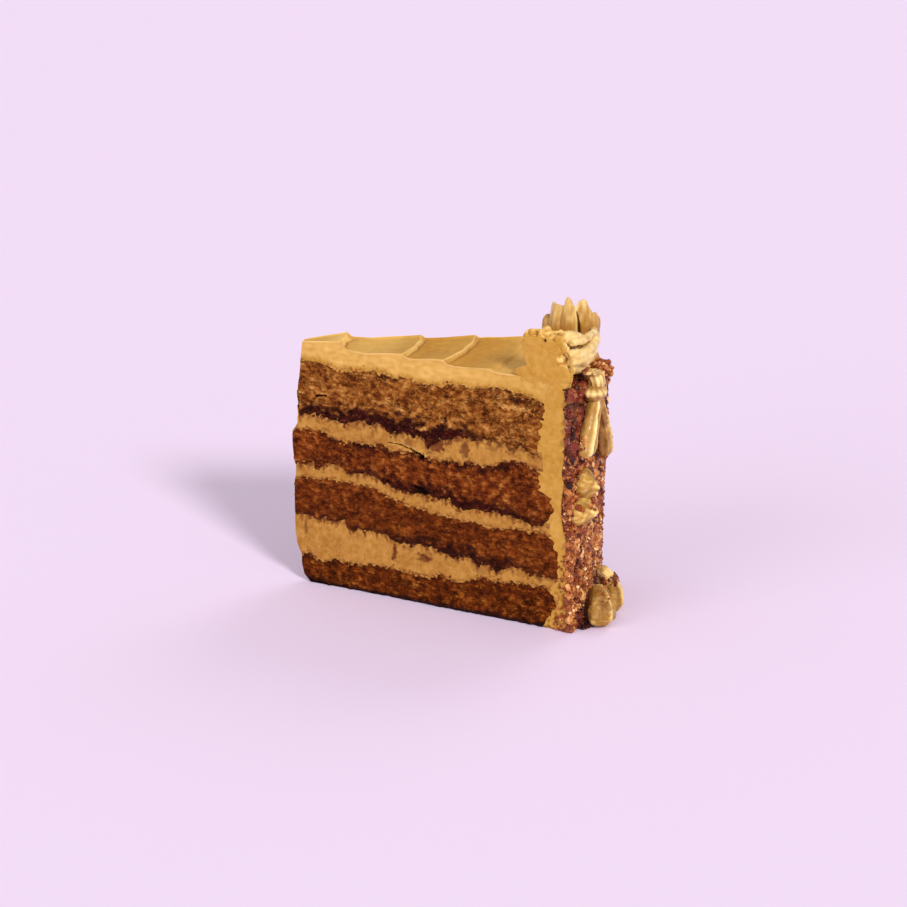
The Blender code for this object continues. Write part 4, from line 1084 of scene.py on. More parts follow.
# cream hung on the side and piped at the foot
def hungShape(look, press):
    rows = np.array(look["stations"], dtype=float)
    ribs, groove, twist = look["ribs"], look["groove"], look["twist"]
    ends = look.get("ends", 0.22)

    def shape(along, swirl):
        knots = np.arange(len(rows))
        share = along * (len(rows) - 1)
        radius, turn, height, wide, thick = (sum(np.interp(share + slip, knots, rows[:, axis])
                                                 for slip in (-0.3, 0.0, 0.3)) / 3 for axis in range(5))
        start = np.sqrt(1 - (1 - np.clip(along / ends, 0, 1)) ** 2)
        end = np.sqrt(1 - (1 - np.clip((1 - along) / ends, 0, 1)) ** 2)
        wave = np.ones_like(along)
        if ribs:
            wave -= groove * (0.5 - 0.5 * np.cos(ribs * swirl + twist * along)) ** 0.7
        for facing, rise, spread in look.get("ridges", ()):
            off = np.angle(np.exp(1j * (swirl - facing)))
            wave += rise * np.exp(-(off / spread) ** 2) * np.sin(np.pi * np.clip(along * 1.1, 0, 1)) ** 0.5
        centre = toScene(radius, turn, height)
        angle = np.radians(turn) - halfTurn
        outward = np.stack([np.cos(angle), np.sin(angle), np.zeros_like(angle)], axis=1)
        sideways = np.stack([-np.sin(angle), np.cos(angle), np.zeros_like(angle)], axis=1)
        points = centre + outward * (thick * start * end * wave * np.cos(swirl) * mm)[:, None]
        points += sideways * (wide * start * end * wave * np.sin(swirl) * mm)[:, None]
        if press:
            spot, turns, heights = toCake(points)
            points = toScene(np.maximum(spot, press), turns, heights)
        return points

    return shape


hungLooks = {
    "hangingKnob": {"node": "hanging_knob", "ribs": 9, "groove": 0.08, "twist": 9.0, "ends": 0.34, "stations": [
        (125.1, 6.8, 90.0, 3.4, 3.2), (125.2, 7.0, 93.0, 3.6, 3.4), (125.3, 7.1, 96.0, 3.6, 3.4),
        (125.1, 6.7, 98.6, 3.4, 3.3), (124.7, 5.8, 100.4, 3.0, 2.9), (124.3, 4.8, 100.8, 2.5, 2.4),
        (124.1, 4.1, 99.2, 1.9, 1.9)],
        "stains": [(4.6, 98.4, 1.0, 1.4, 0.8)], "light": 0.24, "ribShade": 0.45, "ribLight": 0.40,
        "stripes": [(-0.9, 0.45, 0.45)]},
    "hangingCollar": {"node": "hanging_collar", "ribs": 11, "groove": 0.03, "twist": 1.5, "ends": 0.5, "stations": [
        (125.0, 6.4, 87.0, 3.2, 3.0), (125.1, 6.4, 88.4, 3.9, 3.6), (125.2, 6.3, 89.8, 4.5, 4.1),
        (125.3, 6.3, 91.2, 5.5, 4.8), (125.3, 6.3, 92.6, 5.7, 4.9), (125.2, 6.4, 93.9, 4.9, 4.4),
        (125.1, 6.5, 94.9, 3.9, 3.8)],
        "stains": [(4.6, 88.8, 1.0, 0.9, 0.5)], "light": 0.05, "ribShade": 0.45, "ribLight": 0.25,
        "rings": [(0.66, 0.10, 0.45), (0.88, 0.06, -0.5), (0.40, 0.08, -0.45)]},
    "hangingDropLeft": {"node": "hanging_drop_left", "ribs": 0, "groove": 0.0, "twist": 0.5,
                        "ridges": [(-0.60, 0.22, 0.20), (-0.12, -0.14, 0.26), (-1.15, -0.10, 0.25),
                                   (-1.9, 0.08, 0.4)],
                        "stations": [
                            (124.2, 3.0, 68.0, 3.4, 3.2), (124.7, 3.3, 70.6, 4.4, 3.9), (125.0, 3.9, 75.4, 4.1, 3.8),
                            (125.3, 4.8, 81.0, 3.4, 3.2), (125.6, 5.8, 86.8, 2.7, 2.7),
                            (126.2, 6.1, 91.6, 2.5, 2.5)],
                        "stains": [(1.6, 80.0, 0.9, 6.4, 0.5), (1.4, 72.0, 0.8, 3.4, 0.45),
                                   (3.2, 68.4, 1.6, 1.2, 0.5)],
                        "tone": 0.12, "light": 0.0, "stripes": [(-0.62, 0.20, 0.9), (-0.12, 0.20, -0.5), (-1.1, 0.2, -0.25),
                                                                (-1.9, 0.5, -0.3)]},
    "hangingDropRight": {"node": "hanging_drop_right", "ribs": 7, "groove": 0.16, "twist": 0.9, "stations": [
        (125.6, 11.6, 63.0, 2.9, 3.0), (126.0, 11.4, 66.6, 3.5, 3.6), (125.9, 10.7, 72.8, 3.3, 3.6),
        (125.6, 9.8, 79.6, 2.8, 3.1), (125.5, 8.4, 86.0, 2.2, 2.4), (125.6, 7.8, 90.6, 2.1, 2.3)],
        "stains": [(8.5, 78.0, 0.9, 9.0, 0.85), (9.6, 69.0, 0.8, 5.0, 0.75)], "tone": 0.14, "ribShade": 0.5,
        "stripes": [(0.15, 0.35, 0.8), (-1.75, 0.40, -0.9), (-1.05, 0.16, -0.5)]},
    "baseShellNear": {"node": "base_shell_near", "ribs": 0, "groove": 0.0, "twist": 0.6, "free": True,
                      "ridges": [(0.7, 0.14, 0.32), (0.1, -0.12, 0.25), (-0.5, 0.10, 0.3), (-1.1, -0.14, 0.3),
                                 (-1.9, 0.12, 0.4)],
                      "stations": [(129.4, 5.7, 0.05, 5.3, 4.8), (129.7, 5.8, 4.2, 5.7, 5.1),
                                   (129.3, 6.2, 8.4, 5.0, 4.7), (128.2, 6.9, 12.2, 3.7, 3.5),
                                   (127.0, 7.5, 15.2, 2.5, 2.5)],
                      "stains": [(6.4, 12.2, 3.0, 2.4, 0.75), (5.0, 9.0, 0.6, 2.4, 0.8), (3.6, 4.0, 0.8, 2.4, 0.5),
                                 (7.6, 2.6, 1.6, 1.8, 0.8)],
                      "tone": 0.30, "aged": True, "curdled": 0.75, "stripes": [(-0.25, 0.30, 0.85),
                                                                               (-1.1, 0.22, -0.5)]},
    "baseShellFar": {"node": "base_shell_far", "ribs": 5, "groove": 0.10, "twist": 0.6, "free": True,
                     "stations": [(129.0, 12.4, 0.05, 4.6, 4.5), (129.2, 12.7, 5.0, 5.0, 4.8),
                                  (128.6, 12.8, 10.5, 4.2, 4.1), (127.2, 12.0, 15.5, 3.2, 3.2),
                                  (125.8, 10.8, 20.4, 2.6, 2.6)],
                     "stains": [(12.6, 14.0, 3.0, 1.4, 0.9), (10.6, 10.0, 0.8, 2.4, 0.5)], "tone": 0.20,
                     "aged": True, "curdled": 0.5, "rings": [(0.84, 0.12, 1.0)],
                     "stripes": [(0.0, 0.35, 0.6), (-0.6, 0.25, -0.5)]},
}


def makeHung(name, look):
    piece = puff(name, 72, 64, hungShape(look, 0.0 if look.get("free") else 122.6))
    roughen(piece, "CLOUDS", 3.5, 0.9, noise_depth=1)
    roughen(piece, "CLOUDS", 1.2, look.get("curdled", 0.26), noise_depth=2)
    applyAll(piece)
    points = pointsOf(piece)
    points[:, 2] = np.clip(points[:, 2], 0, None)
    movePoints(piece, points)
    along, swirl = getValues(piece, "along"), getValues(piece, "swirl")
    radius, turn, height = toCake(points)
    ragged = 1 + 1.1 * noiseAt(turn / 0.5, height / 1.4, radius / 3.0, seed=3.0)
    brown = np.full(len(points), look.get("tone", 0.0)) * ragged
    pale = look.get("light", 0.10) + 0.6 * noiseAt(turn / 1.2, height / 3.0, seed=6.0)
    pale += look.get("curdled", 0.0) * noiseAt(turn / 0.4, height / 0.8, seed=56.0)
    # the stains are partly brown cream and partly painted shade, as inside the knob's hook and on the shaded side of
    # the right drop
    for turnAt, level, wide, tall, amount in look["stains"]:
        gap = np.hypot((turn - turnAt) / wide, (height - level) / tall) * ragged
        brown = np.maximum(brown, amount * (1 - smooth(gap, 0.4, 1.3)))
    # painted shade in the rib grooves and painted highlight on the ribs
    if look["ribs"]:
        deep = 0.5 - 0.5 * np.cos(look["ribs"] * swirl + look["twist"] * along)
        brown = np.maximum(brown, look.get("ribShade", 0.0) * deep ** 3 * ragged)
        pale = pale + look.get("ribLight", 0.0) * (1 - deep) ** 2
    # marks by facing and along the piece: painted highlight where the amount is positive, painted shade where it is
    # negative
    marks = [(np.abs(np.angle(np.exp(1j * (swirl - facing)))) / width, amount)
             for facing, width, amount in look.get("stripes", ())]
    marks += [(np.abs(along - level) / width, amount) for level, width, amount in look.get("rings", ())]
    for gap, amount in marks:
        mark = np.abs(amount) * np.exp(-gap ** 2) * (0.8 + 0.4 * ragged) * np.sin(np.pi * along) ** 0.3
        brown, pale = (np.maximum(brown, mark), pale) if amount < 0 else (brown * (1 - 0.8 * mark), pale + mark)
    setValues(piece, "smear", np.clip(brown, 0, 1))
    setValues(piece, "pale", np.clip(pale, 0, 1) * (1 - np.clip(brown, 0, 1)))
    smoothShade(piece, 80)
    finishPiece(piece, brownShadedPaint if look.get("aged") else pipedPaint, "cream", look["node"])
    return points


hungPlaces = {hungName: makeHung(hungName, hungLook) for hungName, hungLook in hungLooks.items()}
print("hanging cream and foot shells")

kissLooks = {
    "kissUpper": {"node": "kiss_upper", "place": (121.6, 4.0, 57.4), "radius": 6.2, "height": 8.4, "spin": 0.9,
                  "lean": (-0.10, -0.06), "wide": (0.90, 1.04), "light": -0.06},
    "kissLower": {"node": "kiss_lower", "place": (121.4, 3.0, 46.9), "radius": 6.3, "height": 9.2, "spin": 2.3,
                  "lean": (0.06, 0.0), "wide": (1.08, 0.96), "light": 0.10},
}


def makeKiss(name, look):
    radius, height = look["radius"], look["height"]
    profile = [(0, 0), (0.12, 0.85), (0.25, 1.0), (0.38, 1.0), (0.52, 0.90), (0.64, 0.70), (0.76, 0.45),
               (0.86, 0.24), (0.94, 0.10), (1, 0)]
    rises = [(0, 0), (0.12, 0.0), (0.25, 0.12), (0.38, 0.28), (0.52, 0.44), (0.64, 0.58), (0.76, 0.72),
             (0.86, 0.85), (0.94, 0.95), (1, 1.0)]
    angle = math.radians(look["place"][1]) - halfTurn
    outward = np.array([math.cos(angle), math.sin(angle), 0])
    sideways = np.array([-math.sin(angle), math.cos(angle), 0])
    upward = np.array([0, 0, 1.0])

    def ribsAt(along, swirl):
        return 0.5 - 0.5 * np.cos(3 * (swirl + look["spin"] + 1.2 * along))

    def shape(along, swirl):
        wide = radius * sum(line(profile, along + slip) for slip in (-0.04, 0, 0.04)) / 3
        out = height * sum(line(rises, along + slip) for slip in (-0.04, 0, 0.04)) / 3
        wide = wide * (1 - 0.10 * ribsAt(along, swirl) ** 1.5)
        across = wide * np.cos(swirl) * look["wide"][0] + look["lean"][1] * out
        upAt = wide * np.sin(swirl) * look["wide"][1] + look["lean"][0] * out
        return (np.array(onCake(*look["place"])) + outward * (out * mm)[:, None] + sideways * (across * mm)[:, None]
                + upward * (upAt * mm)[:, None])

    piece = puff(name, 96, 56, shape)
    roughen(piece, "CLOUDS", 3.0, 0.7, noise_depth=1)
    roughen(piece, "CLOUDS", 1.0, 0.45, noise_depth=2)
    applyAll(piece)
    along, ribs = getValues(piece, "along"), ribsAt(getValues(piece, "along"), getValues(piece, "swirl"))
    radius, turn, height = toCake(pointsOf(piece))
    # painted highlight towards the tip, and painted shade near the wall and in the rib grooves
    light = look["light"] + 0.9 * noiseAt(turn / 0.6, height / 1.2, seed=12.0) + 0.6 * smooth(along, 0.70, 0.90)
    brown = np.maximum(0.65 * (1 - smooth(radius, 121.5, 124.5)), 0.45 * ribs ** 3 * (1 - smooth(along, 0.7, 0.9)))
    setValues(piece, "pale", np.clip(light, 0, 0.95) * (1 - brown))
    setValues(piece, "smear", brown)
    smoothShade(piece, 80)
    finishPiece(piece, brownShadedPaint, "cream", look["node"])
    return pointsOf(piece)


for kissName, kissLook in kissLooks.items():
    hungPlaces[kissName] = makeKiss(kissName, kissLook)
print("kisses")

# nougat crumbs on the curved side
chance = np.random.default_rng(52)
crumbLook = {"deep": (40, 9, 4), "dark": (98, 34, 13), "middle": (154, 78, 32), "light": (214, 144, 76),
             "pale": (250, 214, 152), "syrupAndShade": (128, 46, 32), "shine": 0.32}
# the bed seen between the crumbs is darker, partly as painted shade
bedLook = {**crumbLook, "middle": (96, 36, 14), "light": (130, 62, 26), "shine": 0.08}


def crumbMaterial(name, look):
    made, tree, shader, place = newMaterial(name)
    grain = noiseOf(tree, place, 700, 5, 0.65)
    tone = mathOf(tree, "ADD", attributeOf(tree, "tone"),
                  mathOf(tree, "MULTIPLY", mathOf(tree, "SUBTRACT", grain, 0.5), 0.7), clamp=True)
    tint = ramp(tree, tone, [(0.05, colour(*look["deep"])), (0.30, colour(*look["dark"])),
                             (0.52, colour(*look["middle"])), (0.76, colour(*look["light"])),
                             (0.95, colour(*look["pale"]))])
    # dark glossy syrup, also used as painted shade at the foot beside the near shell
    syrupAndShade = mathOf(tree, "MULTIPLY", attributeOf(tree, "syrupAndShade"), spread(tree, tone, 0.50, 0.90, 0.88, 0.15))
    pools = spread(tree, noiseOf(tree, place, 210, 2), 0.42, 0.56)
    tint = blendOf(tree, syrupAndShade, tint, blendOf(tree, pools, colour(26, 4, 4), colour(*look["syrupAndShade"])))
    tree.links.new(tint, shader.inputs["Base Color"])
    rough = spread(tree, noiseOf(tree, place, 260, 2), 0.3, 0.7, 0.20, 0.62)
    rough = mathOf(tree, "MULTIPLY", rough, spread(tree, attributeOf(tree, "syrupAndShade"), 0.0, 1.0, 1.0, 0.55))
    tree.links.new(rough, shader.inputs["Roughness"])
    shader.inputs["Specular IOR Level"].default_value = look["shine"]
    fine = noiseOf(tree, place, 1600, 3, 0.6)
    addBump(tree, shader, mathOf(tree, "ADD", grain, mathOf(tree, "MULTIPLY", fine, 0.4)), 0.6, 0.35)
    return made


crumbPaint = crumbMaterial("nougatCrumb", crumbLook)
bedPaint = crumbMaterial("nougatBed", bedLook)
bitPaint = crumbMaterial("spongeBits", {**crumbLook, "deep": (66, 26, 6), "dark": (98, 44, 12), "middle": (128, 64, 20),
                                        "light": (164, 96, 40), "pale": (196, 132, 66), "shine": 0.06})


def crumbKind(seed, bent):
    startFresh()
    bpy.ops.mesh.primitive_cube_add(size=2, location=(0, 0, 0))
    piece = bpy.context.object
    bpy.ops.object.mode_set(mode="EDIT")
    bpy.ops.mesh.select_all(action="SELECT")
    bpy.ops.mesh.subdivide(number_cuts=1)
    bpy.ops.mesh.quads_convert_to_tris()
    bpy.ops.object.mode_set(mode="OBJECT")
    points = pointsOf(piece)
    lengths = np.linalg.norm(points, axis=1, keepdims=True)
    ball = points / lengths
    points = ball * (0.80 + 0.18 / np.max(np.abs(ball), axis=1, keepdims=True))
    wobble = np.array([noise.noise_vector(Vector(spot) * 1.3 + Vector((seed * 9.1, 0, 0))) for spot in ball])
    points = points + wobble * bent
    faces = np.array([list(face.vertices) for face in piece.data.polygons])
    bpy.data.objects.remove(piece)
    return points / np.abs(points).max(), faces


crumbKinds = [crumbKind(seed, 0.62) for seed in range(8)]


def randomTurns(count):
    spin = chance.normal(size=(count, 4))
    spin /= np.linalg.norm(spin, axis=1, keepdims=True)
    w, x, y, z = spin.T
    return np.stack([np.stack([1 - 2 * (y * y + z * z), 2 * (x * y - z * w), 2 * (x * z + y * w)], axis=1),
                     np.stack([2 * (x * y + z * w), 1 - 2 * (x * x + z * z), 2 * (y * z - x * w)], axis=1),
                     np.stack([2 * (x * z - y * w), 2 * (y * z + x * w), 1 - 2 * (x * x + y * y)], axis=1)], axis=1)


def scatterCrumbs(name, places, sizes, tones):
    turns = randomTurns(len(places))
    sizes = np.asarray(sizes)[:, None] * chance.uniform(0.6, 1.15, (len(places), 3)) * mm
    vertices, faces, tone, start = [], [], [], 0
    for index, (place, size, turn) in enumerate(zip(places, sizes, turns)):
        points, shapeFaces = crumbKinds[index % len(crumbKinds)]
        vertices.append((points * size) @ turn.T + place)
        faces.append(shapeFaces + start)
        tone.append(np.full(len(points), tones[index]))
        start += len(points)
    mesh = bpy.data.meshes.new(name)
    mesh.from_pydata(np.concatenate(vertices).tolist(), [], np.concatenate(faces).tolist())
    piece = bpy.data.objects.new(name, mesh)
    bpy.context.scene.collection.objects.link(piece)
    setValues(piece, "tone", np.concatenate(tone))
    setValues(piece, "syrupAndShade", np.zeros(start))
    points = pointsOf(piece)
    points[:, 2] = np.clip(points[:, 2], 0, None)
    movePoints(piece, points)
    smoothShade(piece, 50)
    return piece


coatLook = {"core": 120.9, "top": 94.3, "lowTop": 88.8, "lowFrom": 11.0, "dent": (31.0, 9.0, 2.6)}


def coatTop(turn):
    dip = smooth(turn, coatLook["lowFrom"] - 1.5, coatLook["lowFrom"] + 1)
    return coatLook["top"] - (coatLook["top"] - coatLook["lowTop"]) * dip


def coatRadius(turn, height):
    where, width, depth = coatLook["dent"]
    dent = depth * np.exp(-((height - where) / width) ** 2) * smooth(turn, 6, 20) * (1 - 0.65 * smooth(turn, 16, 21))
    foot = 1.2 * (1 - smooth(height, 0, 14))
    return coatLook["core"] - dent + foot


# syrup has run into the crumbs near the top by the near cut; at the foot beside the near shell the same dark is painted
# shade in the gap
def syrupAndShadeAt(turn, height):
    wet = smooth(height, 62, 76) * (1 - 0.75 * smooth(turn, 8, 16)) * (0.85 + 0.9 * noiseAt(
        turn / 2.2, height / 5.0, seed=29.0))
    foot = (1 - smooth(height, 4, 8)) * np.exp(-((turn - 5.0) / 2.4) ** 2)
    wet = np.maximum(wet, foot)
    low = 0.6 * np.clip(1.6 * noiseAt(turn / 1.6, height / 4.0, seed=31.0) - 0.2, 0, 1) * (1 - smooth(height, 52, 60))
    return np.clip(np.maximum(wet, low), 0, 1)


def makeCoat():
    core = flatSheet("crumbCoat", 7, 100)
    along, rise = getValues(core, "along"), getValues(core, "rise")
    movePoints(core, toScene(119.0 + 1.8 * along, 0.0, 94.0 * rise))
    turnThroughSlice(core, 64)
    along, rise = getValues(core, "along"), getValues(core, "rise")
    turn = toCake(pointsOf(core))[1]
    near, far = cutShare(turn)
    turn = turn + 0.42 * (near - far)
    height = coatTop(turn) * rise
    inner = line([(height, radius) for radius, height in reversed(icingLook["side"])], height) - 0.3
    inner = np.minimum(inner, 120.4)
    radius = inner + (coatRadius(turn, height) - inner) * along
    lumps = 0.9 * noiseAt(turn / 1.5, height / 3.4, seed=3.0) + 0.5 * noiseAt(turn / 0.7, height / 1.5, seed=8.0)
    radius = radius + lumps * along
    radius, turn, height = handMade(radius, turn, height)
    height = np.clip(height, 0, None)
    movePoints(core, toScene(radius, turn, height))
    setValues(core, "tone", 0.22 + 0.30 * noiseAt(turn / 1.0, height / 2.0, seed=4.0))
    setValues(core, "syrupAndShade", syrupAndShadeAt(turn, height))
    smoothShade(core)
    finishPiece(core, bedPaint, "nougat", "crumb_coat")

    for layer, (stepTurn, stepHeight, share) in enumerate(((1.22, 2.15, 1.0), (1.0, 1.75, 0.9), (0.82, 1.4, 0.6))):
        turns = np.arange(0.1, sliceTurn, stepTurn)
        heights = np.arange(0.6, 97.5, stepHeight)
        turnGrid, heightGrid = (axis.ravel() for axis in np.meshgrid(turns, heights))
        turnGrid = turnGrid + chance.uniform(-0.5, 0.5, len(turnGrid)) * stepTurn
        heightGrid = heightGrid + chance.uniform(-0.5, 0.5, len(turnGrid)) * stepHeight
        turnGrid = np.clip(turnGrid, 0.15, sliceTurn - 0.15)
        keep = (heightGrid < coatTop(turnGrid) + 0.8) & (chance.uniform(0, 1, len(turnGrid)) < share)
        turnGrid, heightGrid = turnGrid[keep], np.clip(heightGrid[keep], 0.5, None)
        coarse = smooth(heightGrid, 28, 70)
        reach = (1.85, 1.35, 0.9)[layer] * (0.84 + 0.38 * coarse) * chance.uniform(0.65, 1.35, len(turnGrid))
        lumps = noiseAt(turnGrid / 1.6, heightGrid / 4.2, seed=13.0)
        out = coatRadius(turnGrid, heightGrid) + (0.2, 0.5, 0.75)[layer] + 1.2 * coarse * lumps + chance.uniform(
            -0.4, 0.4, len(turnGrid))
        out = np.minimum(out, 123.2 - reach * 0.6)
        upper = smooth(heightGrid, 54, 76)
        farther = smooth(turnGrid, 6, 20)
        # painted shade: crumbs lying deeper are darker, and so is the foot beside the near shell
        depthShade = np.clip(out - coatRadius(turnGrid, heightGrid) - 0.6, -1, 1)
        tone = (0.51 - 0.10 * upper * (1 - 0.7 * farther) + 0.34 * noiseAt(turnGrid / 1.7, heightGrid / 4.4, seed=19.0)
                + chance.normal(0, 0.15, len(turnGrid)) * (1 + 0.8 * upper) + 0.14 * depthShade
                - 0.3 * (1 - smooth(heightGrid, 4, 8)) * np.exp(-((turnGrid - 5.0) / 2.4) ** 2)
                + 0.06 * (1 - smooth(heightGrid, 14, 44)))
        tone -= 0.45 * upper * (1 - 0.7 * farther) * smooth(tone, 0.55, 0.95)
        out, turnGrid, heightGrid = handMade(out, turnGrid, heightGrid)
        heightGrid = np.maximum(heightGrid, reach * 0.75)
        name = ("coatCrumbsCoarse", "coatCrumbsMiddle", "coatCrumbsFine")[layer]
        crumbs = scatterCrumbs(name, toScene(out, turnGrid, heightGrid), reach, np.clip(tone, 0.04, 0.98))
        setValues(crumbs, "syrupAndShade", syrupAndShadeAt(*toCake(pointsOf(crumbs))[1:]))
        finishPiece(crumbs, crumbPaint, "nougat", "crumb_coat")
        print(name, len(crumbs.data.polygons), "faces")


makeCoat()


# crumbs cut through with the slice, on both cuts, and crumbs caught on the icing's rim
def makeEdgeCrumbs():
    places, sizes, tones = [], [], []
    for turnAt, sign in ((0.0, 1), (sliceTurn, -1)):
        count = 1000
        heights = chance.uniform(0.6, coatTop(turnAt) + (1.0 if sign > 0 else -1.0), count)
        inner = line([(height, radius) for radius, height in reversed(icingLook["side"])], heights)
        radii = inner + 0.2 + (122.6 - inner) * chance.uniform(0, 1, count)
        reach = chance.uniform(0.45, 1.2, count) * (0.8 + 0.3 * smooth(heights, 30, 70))
        depth = np.degrees(reach * 0.85 / 121) * sign
        places.append(toScene(*handMade(radii, turnAt + depth, heights)))
        sizes.append(reach)
        tones.append(0.52 - 0.10 * smooth(heights, 54, 76) + chance.normal(0, 0.15, count))
    count = 520
    turns = np.concatenate([chance.uniform(0.6, 10.0, 240), chance.uniform(9.0, 17.0, 280)])
    radii = chance.uniform(116.6, 120.8, count)
    heights = line([(radius, height) for radius, height in icingLook["side"][:5]], radii) + chance.uniform(
        -0.3, 0.5, count)
    places.append(toScene(radii, turns, heights))
    sizes.append(chance.uniform(0.5, 1.3, count))
    tones.append(0.36 + chance.normal(0, 0.18, count))
    crumbs = scatterCrumbs("edgeCrumbs", np.concatenate(places), np.concatenate(sizes),
                           np.clip(np.concatenate(tones), 0.04, 0.98))
    setValues(crumbs, "syrupAndShade", syrupAndShadeAt(*toCake(pointsOf(crumbs))[1:]))
    finishPiece(crumbs, crumbPaint, "nougat", "crumb_coat")


makeEdgeCrumbs()


# crumbs of sponge and shreds of cream pulled along by the knife, where sponge meets cream on both cuts
dragged = {
    "spongeCrumbs": {"count": 22, "size": (0.30, 0.75), "off": -0.3, "tone": (0.35, 0.8), "node": "sponge_1",
                     "slot": "sponge", "paint": bitPaint},
    "creamShreds": {"count": 30, "size": (0.25, 0.60), "off": 0.1, "tone": (0.5, 0.5), "node": "filling_1",
                    "slot": "cream", "paint": fillingPaint},
}


def makeDragged(name, look):
    places, sizes = [], []
    for turnAt, sign in ((0.0, -1), (sliceTurn, 1)):
        for border in ("icingFoot", "spongeOneFoot", "fillingOneFoot", "spongeTwoFoot", "fillingTwoFoot",
                       "spongeThreeFoot", "fillingThreeFoot"):
            count = look["count"]
            radii = chance.uniform(8, 110, count)
            heights = borderHeight(border, radii, np.full(count, turnAt)) + chance.normal(look["off"], 0.8, count)
            depthShade = np.degrees(chance.uniform(-0.45, -0.1, count) / radii) * sign
            places.append(toScene(*handMade(radii, turnAt + depthShade, heights)))
            sizes.append(chance.uniform(*look["size"], count))
    places, sizes = np.concatenate(places), np.concatenate(sizes)
    crumbs = scatterCrumbs(name, places, sizes, chance.uniform(*look["tone"], len(sizes)))
    finishPiece(crumbs, look["paint"], look["slot"], look["node"])


for draggedName, draggedLook in dragged.items():
    makeDragged(draggedName, draggedLook)


# crumbs caught on the pieces of cream: (piece, count, turn, height, half sizes, largest crumb, tone)
caught = [("baseShellFar", 44, 12.6, 13.6, 2.6, 2.0, 1.15, 0.40), ("baseShellNear", 16, 6.8, 12.8, 2.6, 2.0, 0.9, 0.50),
          ("baseShellNear", 5, 5.0, 8.6, 0.6, 2.0, 0.8, 0.45), ("kissLower", 9, 2.0, 50.0, 2.4, 1.6, 1.7, 0.60),
          ("hangingDropLeft", 16, 2.4, 66.8, 2.0, 1.8, 1.1, 0.55), ("hangingDropRight", 8, 9.8, 63.0, 1.4, 1.2, 1.1, 0.40),
          ("hangingDropLeft", 16, 1.4, 80.0, 1.0, 8.0, 0.9, 0.60)]


def makeCaughtCrumbs():
    places, sizes, tones = [], [], []
    for name, count, turnAt, level, wide, tall, size, tone in caught:
        points = hungPlaces[name]
        radius, turn, height = toCake(points)
        gap = np.hypot((turn - turnAt) / wide, (height - level) / tall)
        near = np.flatnonzero((gap < 1) & (radius > np.median(radius) - 1.0))
        if len(near):
            places.append(points[chance.choice(near, count)])
            sizes.append(chance.uniform(0.4 * size, size, count))
            tones.append(tone + chance.normal(0, 0.12, count))
    # round the outlines of the pieces, where they sink into the coat
    for name, points in hungPlaces.items():
        radius, turn, height = toCake(points)
        low = np.flatnonzero((np.abs(radius - 122.9) < 0.35) & (height > 4))
        count = min(len(low), 34)
        if count:
            places.append(points[chance.choice(low, count)])
            sizes.append(chance.uniform(0.5, 1.2, count))
            tones.append(chance.uniform(0.22, 0.60, count))
    # on the near cut along the coat, thicker towards the table
    count = 150
    heights = 0.5 + 30.0 * chance.uniform(0, 1, count) ** 1.8
    radii = line([(height, radius) for radius, height in reversed(icingLook["side"])], heights)
    radii = radii + 0.4 - 6.5 * chance.uniform(0, 1, count) ** 2 * (1 - 0.02 * heights)
    places.append(toScene(*handMade(radii, np.full(count, 0.0), heights)))
    sizes.append(chance.uniform(0.35, 0.85, count))
    tones.append(chance.uniform(0.30, 0.75, count))
    crumbs = scatterCrumbs("caughtCrumbs", np.concatenate(places), np.concatenate(sizes),
                           np.clip(np.concatenate(tones), 0.05, 0.95))
    finishPiece(crumbs, crumbPaint, "nougat", "crumb_coat")
    # and dark crumbs on the table, between the coat and the near shell: painted shade in the gap
    count = 70
    wet = scatterCrumbs("footShadeCrumbs", toScene(chance.uniform(121.6, 126.4, count), chance.uniform(2.6, 6.6, count),
                                              chance.uniform(0.3, 1.6, count)), chance.uniform(0.5, 1.3, count),
                        chance.uniform(0.02, 0.16, count))
    setValues(wet, "syrupAndShade", np.full(len(wet.data.vertices), 0.4))
    finishPiece(wet, crumbPaint, "nougat", "crumb_coat")


makeCaughtCrumbs()


def makeCluster():
    centre, sizes = np.array(onCake(122.3, 14.8, 95.2)), (4.4, 3.8, 3.8)
    count = 190
    aims = chance.normal(size=(count, 3))
    aims /= np.linalg.norm(aims, axis=1, keepdims=True)
    depth = chance.uniform(0.25, 1.0, count) ** 0.5
    angle = math.radians(14.8) - halfTurn
    outward, sideways = np.array([math.cos(angle), math.sin(angle), 0]), np.array([-math.sin(angle), math.cos(angle), 0])
    places = centre + (outward * (aims[:, :1] * sizes[0]) + sideways * (aims[:, 1:2] * sizes[1])
                       + np.array([0, 0, 1]) * (aims[:, 2:] * sizes[2])) * depth[:, None] * mm
    cluster = scatterCrumbs("nougatCluster", places, chance.uniform(0.7, 1.45, count),
                            np.clip(0.62 + chance.normal(0, 0.17, count), 0.05, 0.95))
    finishPiece(cluster, crumbPaint, "nougat", "nougat_cluster")


makeCluster()
print("nougat cluster")

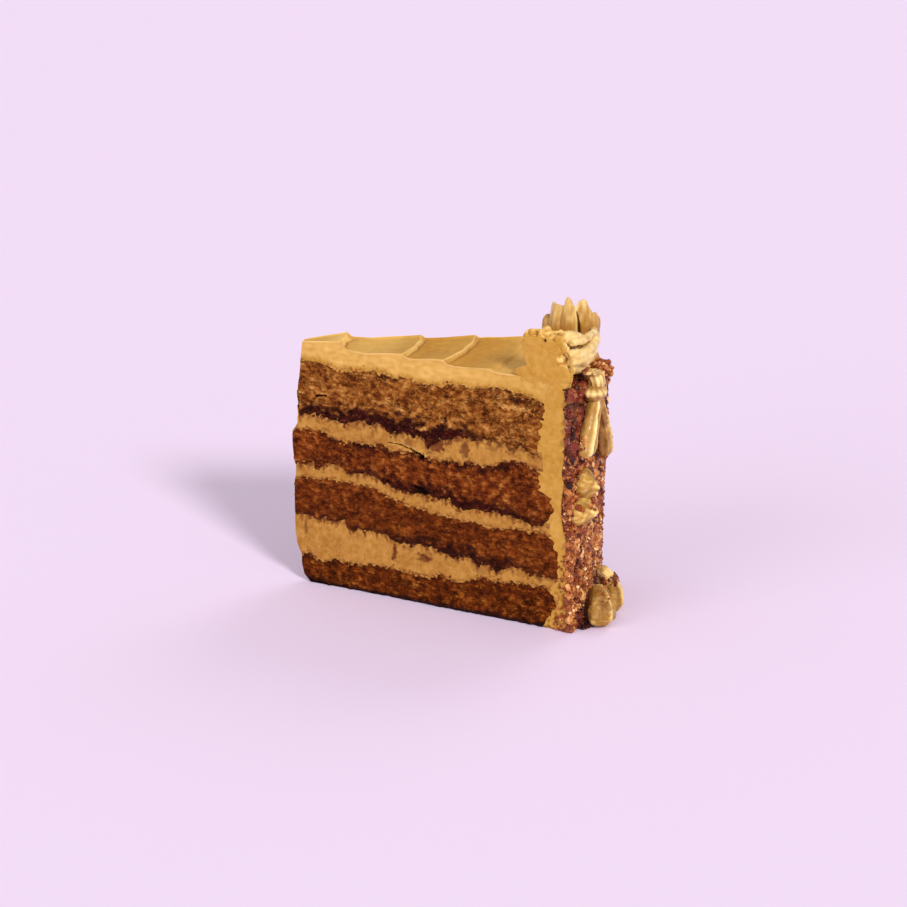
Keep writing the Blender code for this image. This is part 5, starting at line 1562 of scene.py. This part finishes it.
# camera, floor and light
cameraLook = {"azimuth": 13.973, "elevation": 18.0985, "distance": 1.21772, "lens": 125.58,
              "aim": (62.0, 0.0, 55.0), "right": 3.023, "up": 1.763}
azimuth, elevation = math.radians(cameraLook["azimuth"]), math.radians(cameraLook["elevation"])
back = Vector((math.sin(azimuth) * math.cos(elevation), -math.cos(azimuth) * math.cos(elevation),
               math.sin(elevation)))
right = Vector((math.cos(azimuth), math.sin(azimuth), 0.0))
aim = Vector((tipX, tipY, 0.0)) + Vector(cameraLook["aim"]) * mm
aim += (right * cameraLook["right"] + back.cross(right) * cameraLook["up"]) * mm
startFresh()
bpy.ops.object.camera_add(location=aim + back * cameraLook["distance"])
camera = bpy.context.object
camera.name = "photoView"
camera.rotation_euler = (-back).to_track_quat("-Z", "Y").to_euler()
camera.data.lens = cameraLook["lens"]
camera.data.sensor_width = 36.0
camera.data.clip_start, camera.data.clip_end = 0.05, 30.0
bpy.context.scene.camera = camera

# windows seen from the front right, the front left and behind: azimuth, elevation, strength, softness, tint
lights = {
    "windowRight": {"azimuth": 40.0, "elevation": 32.0, "strength": 2.3, "softness": 12.0, "tint": (1.0, 0.98, 0.95)},
    "windowLeft": {"azimuth": -34.0, "elevation": 22.0, "strength": 0.9, "softness": 40.0, "tint": (1.0, 0.98, 0.96)},
    "windowBack": {"azimuth": 160.0, "elevation": 40.0, "strength": 0.5, "softness": 30.0, "tint": (1.0, 0.98, 0.96)},
}
for lightName, lightLook in lights.items():
    startFresh()
    around, above = math.radians(lightLook["azimuth"]), math.radians(lightLook["elevation"])
    spot = Vector((math.sin(around) * math.cos(above), -math.cos(around) * math.cos(above), math.sin(above)))
    bpy.ops.object.light_add(type="SUN", location=spot)
    light = bpy.context.object
    light.name = lightName
    light.rotation_euler = (-spot).to_track_quat("-Z", "Y").to_euler()
    light.data.energy = lightLook["strength"]
    light.data.angle = math.radians(lightLook["softness"])
    light.data.color = lightLook["tint"]

startFresh()
bpy.ops.mesh.primitive_plane_add(size=12, location=(0, 0, 0))
floor = bpy.context.object
floor.name = "studioFloor"
floorPaint, floorTree, floorShader, floorPlace = newMaterial("paleLilacFloor")
floorShader.inputs["Base Color"].default_value = colour(236, 218, 247)
floorShader.inputs["Roughness"].default_value = 0.9
floorShader.inputs["Specular IOR Level"].default_value = 0.1
floor.data.materials.append(floorPaint)
world = bpy.data.worlds.new("studio")
bpy.context.scene.world = world
world.use_nodes = True
world.node_tree.nodes["Background"].inputs["Color"].default_value = colour(250, 245, 240)
world.node_tree.nodes["Background"].inputs["Strength"].default_value = 0.5
bpy.context.scene.view_settings.view_transform = "Standard"
print("stage ready")
